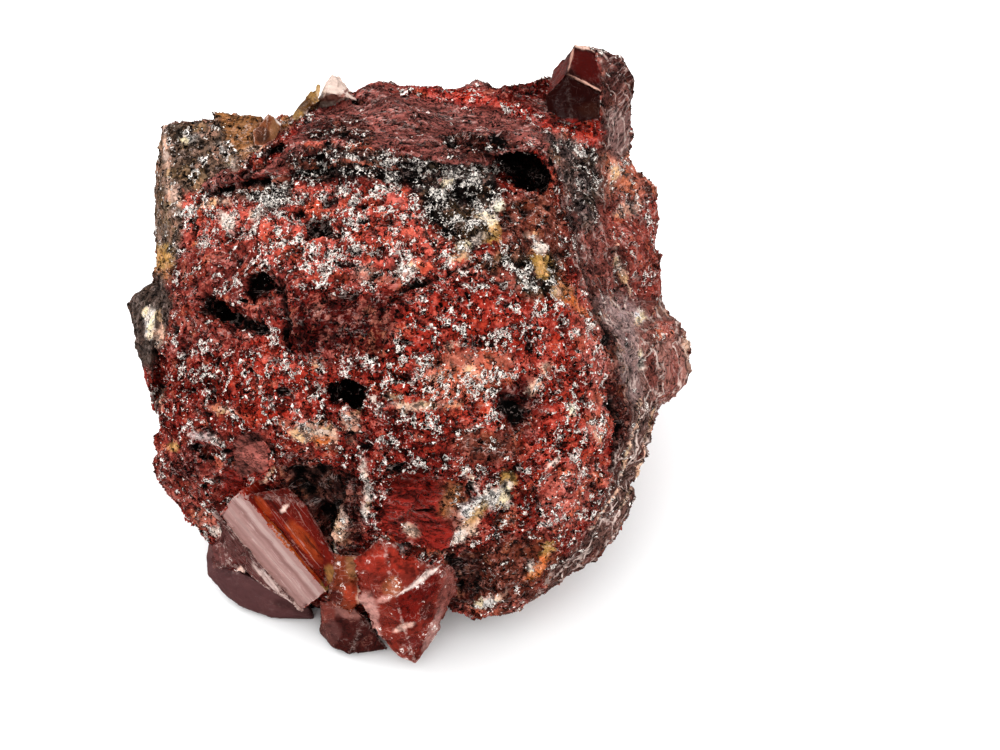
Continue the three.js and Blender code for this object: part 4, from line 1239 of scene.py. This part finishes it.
# Crystals beside the big ones, shown here alone
scenery = {
    "prismFoot": (
        (-46.5, -37.5, 11), (-25, -63, 1.5), (-44, -47, 7), (-40, -52, 6), (-34.5, -56.5, 5.5),
        (-24, -63, 3), (-30, -52, -8), (-42, -42, 2)),
    "amberBridge": (
        (-16.5, -48, 18), (-9.5, -49, 20), (-8.5, -60, 16.5), (-12.5, -64, 12), (-18.8, -60, 12.5),
        (-17.2, -56, 15.5), (-13, -56, 0)),
    "amberFace": (
        (-38.5, -33.5, 23.2), (-18.9, -57.2, 14.4), (-28, -31.6, 25.6), (-23.6, -36, 26),
        (-19.2, -43.6, 21.8), (-13.6, -53.6, 14.2), (-30, -40, 10), (-22, -50, 4)),
    "brownRhomb": (
        (-33, 61.8, 3.5), (-29.4, 59.2, 1.5), (-31, 55, 5.5), (-34.2, 53.2, 10), (-36.4, 53.6, 7),
        (-36.8, 57.4, 4.5), (-33, 57, -8), (-34, 54, -6)),
    "hornFoot": (
        (36, 65.6, 3.6), (41.6, 71.4, 6.8), (50.2, 66.6, 3.6), (50, 60.4, 6.4), (43, 59, 8),
        (37, 62, 5.4), (42, 62, -6), (50, 62, -6)),
    "stepLump": (
        (-48, -46, 0), (-47.4, -52.6, -3), (-38.5, -54, 5.5), (-37.5, -48, 9), (-45, -42.5, 6),
        (-43.5, -51, 5), (-40, -48, -8)),
}


def faceGroups(normal):
    group = np.full(len(normal), -1)
    for n in range(len(normal)):
        if group[n] < 0:
            group[(group < 0) & (normal @ normal[n] > 0.996)] = group.max() + 1
    return group


def cleaved(points, size, slope, ways, seed):
    # like facets, but every facet leans one of the crystal's own three ways
    _, _, away, cell = brokenCells(points, size, seed)
    lean = ways[(cellNumber(cell, seed + 31) * 2.999).astype(int)]
    return slope * (away * lean).sum(1) + 0.35 * slope * size * (2 * cellNumber(cell, seed + 41) - 1)


cleavage = np.array([[0.62, -0.5, 0.6], [-0.75, -0.45, 0.48], [0.1, 0.7, 0.7]])
sheenWay = -0.54 * right - 0.66 * up + 0.52 * outward  # the prism's face that is lightened as a painted sheen leans this way
prismCorner, prismEnd = placed((rhombs["prism"]["corner"], rhombs["prism"]["edges"][0]))
prismWay = (prismEnd - prismCorner) / np.linalg.norm(prismEnd - prismCorner)

# Lines across the prism's painted sheen face, light and dark streaks in the sheen: place from its orange
# edge, half width, strength and colour
prismLines = (
    (0.1, 0.5, 0.85, (0.15, 0.05, 0.038)), (0.56, 0.03, 0.25, (0.2, 0.09, 0.085)),
    (0.66, 0.05, 0.2, (0.62, 0.47, 0.44)), (0.79, 0.03, 0.4, (0.17, 0.07, 0.065)),
    (0.87, 0.05, 0.35, (0.72, 0.58, 0.55)),
)
# pale pink of the painted sheen
sheenTint = (0.41, 0.24, 0.222)


def crystalMesh(name, edge, steps, worn, ridges, plain, marks):
    if name in scenery:
        hullPoints, hullFaces = hull(placed(scenery[name]))
    else:
        hullPoints, hullFaces = hornHull if name == "horn" else hulls[name]
    normal, _ = faceNormals(hullPoints, hullFaces)
    group = faceGroups(normal)
    points, faces, label = refined(hullPoints, hullFaces, group, lambda p: np.full(len(p), edge))
    planes = np.array([normal[group == g][0] for g in range(group.max() + 1)])
    offset = (normal * hullPoints[hullFaces[:, 0]]).sum(1)
    reach = np.array([offset[group == g].max() for g in range(len(planes))])
    gap = np.abs(points @ planes.T - reach)
    own = planes[gap.argmin(1)]
    second = np.where(own @ planes.T > 0.93, 99.0, gap).min(1)
    if name in rounding:
        sides, _ = edgesOf(faces)
        for _ in range(rounding[name]):
            points = points + 0.6 * (neighbourMean(points, sides) - points)
    lie = pointNormals(points, faces)
    wear = stepped(-1.3, -0.1, -second)
    drop = steps * np.abs(np.round(2.2 * cloudNoise(points, 6, 91)) / 2.2)
    drop = drop + steps * np.abs(cleaved(points, 4.5, 0.5, cleavage, 93))
    drop += worn * wear * stepped(-0.25, 0.6, cloudNoise(points, 2.2, 95))
    drop += worn * 1.4 * wear * (cellNumber(brokenCells(points, 3.2, 97)[3], 98) < 0.2)
    if ridges:
        acrossFace = np.cross(own, prismWay)
        place = (points * acrossFace).sum(1) + 0.25 * smoothNoise(points, 5, 99)
        drop += ridges * (place / 0.95 % 1 + 0.6 * (place / 2.3 % 1)) * (np.abs(own @ prismWay) < 0.5)
    moved = points - drop[:, None] * lie
    moved[:, 2] = np.maximum(moved[:, 2], 0.02)
    # colours: plain, then the prism's face lightened by a painted sheen, then the crystal's marks
    tint = np.tile(np.array(plain, float), (len(points), 1))
    if name == "prism":
        paintedSheen = stepped(0.25, 0.5, own @ sheenWay)[:, None]
        tint += paintedSheen * (np.array(sheenTint) - tint)
        rim = (points - prismCorner) @ np.cross(prismWay, sheenWay)
        onFace = paintedSheen[:, 0] > 0.9
        rim = ((rim - rim[onFace].min()) / (rim[onFace].max() - rim[onFace].min()))[:, None]
        rim = rim + 0.012 * smoothNoise(points, 5, 103)[:, None]
        for place, half, strength, shade in prismLines:
            share = paintedSheen * strength * stepped(half, 0.4 * half, np.abs(rim - place))
            tint += share * (np.array(shade) - tint)
    a, b, _ = sightedFrom(points)
    spot = np.column_stack([a, b, a * 0])
    fine = 0.5 * cloudNoise(spot, 3, 101) + 0.4 * cloudNoise(spot, 1.4, 102)
    seen = seenFront(points, own)
    seen = seen * (own @ sheenWay < 0.3) if name == "prism" else seen
    for shade, x, y, length, width, turn in marks:
        share = seen * stepped(-0.2, 0.25, 1 - toSpot(a, b, x, y, length, width, turn) + 0.5 * fine)
        tint += share[:, None] * (np.array(shade) - tint)
    way = prismWay if name in lengthwise else cleavage[0] / np.linalg.norm(cleavage[0])
    squeeze = 0.95 if name in lengthwise else 0.55
    grainWay = points - squeeze * (points @ way)[:, None] * way
    uv = np.zeros((len(faces), 3, 2))
    columns = math.ceil(math.sqrt(len(planes)))
    for g, plane in enumerate(planes):
        side = np.cross(plane, (0.31, 0.2, 0.93))
        side /= np.linalg.norm(side)
        flatUv = np.stack([points @ side, points @ np.cross(plane, side)], axis=1)[faces[label == g]]
        low = flatUv.min((0, 1))
        flatUv = (flatUv - low) / (flatUv.max((0, 1)) - low).max()
        uv[label == g] = (flatUv * 0.94 + 0.03 + [g % columns, g // columns]) / columns
    return moved, faces, {"wear": wear, "tint": tint, "grainWay": grainWay}, uv


rounding = {"darkBlock": 12, "knob": 8, "stepLump": 5}
lengthwise = ("prism", "prismFoot", "amberFace")
# How a crystal takes light: share let through, roughness, what it absorbs and how strongly, then how
# much it shows of lines, white flecks painted as highlights, worn edges, mottling and relief
crystalGlass = {
    "horn": (0.08, 0.08, (0.7, 0.05, 0.03), 900, 0.05, 0.03, 0.05, 0.04, 0.2),
    "brownRhomb": (0.25, 0.08, (0.85, 0.4, 0.15), 160, 0.2, 0.05, 0.5, 0.4, 0.2),
    "hornFoot": (0.08, 0.08, (0.7, 0.05, 0.03), 900, 0.03, 0.03, 0.03, 0.04, 0.25),
    "prism": (0.2, 0.1, (0.9, 0.3, 0.2), 130, 0.22, 0.04, 0.25, 0.1, 0.06),
    "amberFace": (0.25, 0.06, (0.9, 0.16, 0.05), 220, 0.2, 0.15, 0.15, 0.6, 0.25),
    "prismFoot": (0.2, 0.12, (0.9, 0.45, 0.35), 130, 0.6, 0.15, 0.5, 0.2, 0.2),
    "bottomCrystal": (0.18, 0.07, (0.9, 0.12, 0.06), 300, 0.2, 0.3, 0.3, 0.6, 0.5),
    "clearSmall": (0.4, 0.1, (0.8, 0.42, 0.2), 120, 0.2, 0.15, 0.6, 0.4, 0.3),
    "clearTop": (0.35, 0.08, (0.93, 0.8, 0.74), 60, 0.2, 0.05, 0.3, 0.25, 0.2),
    "clearGold": (0.35, 0.1, (0.85, 0.55, 0.22), 110, 0.3, 0.25, 0.4, 0.5, 0.4),
    "amberBridge": (0.25, 0.12, (0.9, 0.3, 0.12), 130, 0.3, 0.3, 0.3, 0.6, 0.5),
    "darkBlock": (0.0, 0.3, None, 0, 0.03, 0.02, 0.1, 0.14, 0.06),
    "stepLump": (0.0, 0.16, None, 0, 0.2, 0.3, 0.25, 0.5, 0.5),
    "knob": (0.08, 0.1, (0.6, 0.08, 0.06), 700, 0.1, 0.06, 0.15, 0.5, 0.4),
}


def crystalMaterial(name, through, rough, absorb, thick, lines, glintFlecks, worn, mottle, relief):
    material, tree, shader = startMaterial(name + "Calcite")
    where = stoneSpace(tree)
    tint = readValue(tree, "tint", "Color")
    grainWay = readValue(tree, "grainWay", "Vector")
    streak = noise(tree, grainWay, 0.8, 4, 0.65)
    clouds = noise(tree, where, 0.22, 4, 0.62, 0.5)
    tone = timesPlus(tree, streak, 0.6, times(tree, clouds, 0.5))
    shade = blendColour(tree, ease(tree, tone, 0.40, 0.56), scaled(tree, tint, 1 - mottle), tint)
    shade = blendColour(tree, ease(tree, tone, 0.56, 0.72), shade, scaled(tree, tint, 1 + 0.9 * mottle))
    # bright and dark lines along the crystal's cleavage, and thin curved flaws inside it
    thin = line(tree, noise(tree, grainWay, 0.55, 2, 0.5), 0.55, 0.02)
    thin = times(tree, thin, ease(tree, clouds, 0.44, 0.56))
    shade = blendColour(tree, times(tree, thin, lines), shade, (0.85, 0.7, 0.66, 1))
    thin = line(tree, noise(tree, grainWay, 0.7, 2, 0.5), 0.42, 0.015)
    shade = blendColour(tree, times(tree, thin, 0.5 * lines), shade, (0.05, 0.012, 0.01, 1))
    flaw = line(tree, noise(tree, where, 0.26, 4, 0.7, 1.2), 0.5, 0.018)
    flaw = times(tree, flaw, ease(tree, noise(tree, where, 0.22, 2), 0.5, 0.62))
    shade = blendColour(tree, times(tree, flaw, 0.4 * mottle), shade, (0.7, 0.36, 0.28, 1))
    grit = useGroup(tree, sugar, **{"Tint": tint, "Fleck And Glint Share": glintFlecks, "Gap Shade Share": 0.25})
    # white flecks: painted highlights
    shade = blendColour(tree, grit["Flecks And Glints"], shade, (1.0, 0.9, 0.86, 1))
    wear = readValue(tree, "wear")
    edge = ease(tree, times(tree, wear, noise(tree, where, 0.9, 3, 0.7)), 0.40, 0.62)
    shade = blendColour(tree, times(tree, edge, worn), shade, (0.85, 0.66, 0.6, 1))
    feed(tree, shader.inputs["Base Color"], shade)
    gloss = timesPlus(tree, noise(tree, where, 0.8, 3), 0.14, rough - 0.05)
    feed(tree, shader.inputs["Roughness"], timesPlus(tree, edge, 0.25, gloss))
    fine = noise(tree, grainWay, 1.4, 4, 0.7)
    addBump(tree, shader, timesPlus(tree, fine, relief, times(tree, grit["Height"], 0.2 * relief)), 0.5)
    if absorb is None:
        shader.inputs["Specular IOR Level"].default_value = 0.4
        return material
    shader.inputs["Transmission Weight"].default_value = through
    shader.inputs["IOR"].default_value = 1.6
    shader.inputs["Specular IOR Level"].default_value = 0.12 if "horn" in name else 0.3
    absorption = addNode(tree, "ShaderNodeVolumeAbsorption")
    absorption.inputs["Color"].default_value = (*absorb, 1)
    absorption.inputs["Density"].default_value = thick
    tree.links.new(absorption.outputs[0], tree.nodes["Material Output"].inputs["Volume"])
    return material


for name in crystalLooks:
    makePiece(name, *crystalMesh(name, *crystalLooks[name]), crystalMaterial(name, *crystalGlass[name]),
              sharp=60 if name in rounding else 25)
print("crystals made")


# Loose-looking calcite grains: corners of small rhombs, half sunk in the crust
grainBed = {
    "pieces": 3,
    "each": 47000,
    "seed": 500,
    "front": 2.6,  # how much denser the front is
    "small": 0.3,  # size, mm
    "large": 0.9,
    "fewLarge": 2.4,  # the higher, the fewer large ones
    "farSize": 1.35,  # how much larger they are where the front doesn't show
    "rise": 0.5,  # how far they stand out and are sunk, for their size
    "sunk": 0.35,
    "lean": 0.7,
}


def scatterGrains(seed):
    pick = np.random.default_rng(seed)
    normal, area = faceNormals(points, faces)
    middles = points[faces].mean(1)
    grade = {k: values[k][faces].mean(1) for k in ("skin", "hollow", "spark")}
    thick = np.clip(1 - 1.05 * grade["skin"], 0.03, 1) * (1 - 0.7 * grade["hollow"])
    thick *= 0.25 + 1.1 * grade["spark"]
    bare = [n + 1 for n, name in enumerate(names) if name in glassy + polished]
    thick *= np.isin(label, bare, invert=True)
    thick *= 1 + (grainBed["front"] - 1) * front[faces].mean(1)
    thick *= np.where(label > 0, 0.35, 1) * stepped(0.2, 2, middles[:, 2])
    share = area * thick
    chosen = pick.choice(len(faces), grainBed["each"], p=share / share.sum())
    mix = pick.dirichlet((1, 1, 1), len(chosen))
    at = (points[faces[chosen]] * mix[:, :, None]).sum(1)
    spread = grainBed["large"] - grainBed["small"]
    size = grainBed["small"] + spread * pick.random(len(at)) ** grainBed["fewLarge"]
    size *= np.where(front[faces[chosen, 0]] > 0.5, 1, grainBed["farSize"])
    axis = normal[chosen] + grainBed["lean"] * pick.normal(size=(len(at), 3)) * 0.6
    axis /= np.linalg.norm(axis, axis=1, keepdims=True)
    side = np.cross(axis, pick.normal(size=(len(at), 3)))
    side /= np.linalg.norm(side, axis=1, keepdims=True)
    other = np.cross(axis, side)
    tip = at + axis * (size * grainBed["rise"])[:, None]
    foot = []
    for n in range(3):
        angle = 2 * math.pi * n / 3 + pick.uniform(-0.35, 0.35, len(at))
        reach = size * pick.uniform(0.55, 0.85, len(at))
        low = at - axis * (grainBed["sunk"] * size)[:, None]
        foot.append(low + side * (reach * np.cos(angle))[:, None]
                    + other * (reach * np.sin(angle))[:, None])
    made = np.stack([tip, *foot], axis=1).reshape(-1, 3)
    made[:, 2] = np.maximum(made[:, 2], 0.01)
    first = 4 * np.arange(len(at))[:, None, None]
    grainFaces = (first + np.array([[0, 1, 2], [0, 2, 3], [0, 3, 1], [1, 3, 2]])).reshape(-1, 3)
    copied = {k: np.repeat(v[faces[chosen, 0]], 4, axis=0) for k, v in values.items()}
    copied["hollow"] = copied["hollow"] * 0.7
    copied["tone"] = np.repeat(pick.random(len(at)), 4)
    columns = math.ceil(math.sqrt(len(at)))
    cell = np.column_stack([np.arange(len(at)) % columns, np.arange(len(at)) // columns])[:, None]
    cornerUv = np.array([[0.5, 0.55], [0.1, 0.1], [0.9, 0.1], [0.5, 0.9]])
    uv = ((cell + cornerUv) / columns).reshape(-1, 2)[grainFaces]
    return made, grainFaces, copied, uv


grainStone = crustMaterial("grainStone", grains=True)
for n in range(grainBed["pieces"]):
    makePiece(f"grains{n + 1}", *scatterGrains(grainBed["seed"] + n), grainStone, smooth=False)
print("grains laid")


# Floor, light and camera
def floorMaterial():
    material, tree, shader = startMaterial("paleFloor")
    where = addNode(tree, "ShaderNodeTexCoord").outputs["Object"]
    cloud = noise(tree, where, 3, 3)
    pale = blendColour(tree, cloud, (0.9, 0.92, 0.94, 1), (0.93, 0.95, 0.97, 1))
    # gloss on the stone sees a darker floor, as through a polariser
    glossy = addNode(tree, "ShaderNodeLightPath").outputs["Is Glossy Ray"]
    feed(tree, shader.inputs["Base Color"], blendColour(tree, glossy, pale, (0.1, 0.1, 0.1, 1)))
    shader.inputs["Roughness"].default_value = 0.85
    shader.inputs["Specular IOR Level"].default_value = 0.1
    return material


def addFloor():
    mesh = bmesh.new()
    bmesh.ops.create_grid(mesh, x_segments=24, y_segments=24, size=3)
    for v in mesh.verts:
        lift = max(0, v.co.y - 1.2)
        v.co.z = 0.35 * lift * lift
    data = bpy.data.meshes.new("paleFloor")
    mesh.to_mesh(data)
    mesh.free()
    data.materials.append(floorMaterial())
    floor = bpy.data.objects.new("paleFloor", data)
    bpy.context.scene.collection.objects.link(floor)


light = {
    "world": 1.36,
    "reflected": 0.16,  # what gloss sees of the room
    "key": 3.0,
    "fill": 0.5,
    "glint": 0.5,
}


def addLamp(name, place, aim, size, power, glint=False):
    data = bpy.data.lights.new(name, "AREA")
    data.shape = "DISK"
    data.size = size
    data.energy = power
    lamp = bpy.data.objects.new(name, data)
    bpy.context.scene.collection.objects.link(lamp)
    lamp.location = place
    # soft lamps light the stone, small ones only glint on it
    lamp.visible_glossy = glint
    lamp.visible_diffuse = not glint
    lamp.visible_transmission = False
    lamp.rotation_euler = (Vector(aim) - Vector(place)).to_track_quat("-Z", "Y").to_euler()


addFloor()
addLamp("windowKey", (-0.45, 0.35, 0.75), (0, 0, 0.04), 0.6, light["key"])
addLamp("roomFill", (0.6, -0.5, 0.8), (0, 0, 0.04), 0.8, light["fill"])
glints = {"glintLeft": (-0.5, -0.1, 0.7), "glintBack": (0.1, 0.5, 0.8), "glintRight": (0.5, -0.4, 0.6)}
for name, place in glints.items():
    addLamp(name, place, (0, 0, 0.05), 0.1, light["glint"], glint=True)
world = bpy.data.worlds.new("studioWorld")
bpy.context.scene.world = world
world.use_nodes = True
world.cycles.sampling_method = "NONE"  # an even room needs none, and gloss then sees its own darker one
sky = world.node_tree.nodes["Background"]
sky.inputs["Color"].default_value = (1.0, 0.985, 0.965, 1)
glossy = addNode(world.node_tree, "ShaderNodeLightPath").outputs["Is Glossy Ray"]
strength = mixValue(world.node_tree, glossy, light["world"], light["reflected"])
feed(world.node_tree, sky.inputs["Strength"], strength)
bpy.context.scene.view_settings.view_transform = "Standard"
bpy.context.scene.view_settings.look = "Medium High Contrast"

view = {"focal": 50, "sensor": 36, "nearest": 0.01}
lens = bpy.data.cameras.new("frontCamera")
lens.lens = view["focal"]
lens.sensor_width = view["sensor"]
lens.clip_start = view["nearest"]
camera = bpy.data.objects.new("frontCamera", lens)
bpy.context.scene.collection.objects.link(camera)
camera.location = eyePoint / 1000
camera.rotation_euler = (tilt, 0, 0)
bpy.context.scene.camera = camera
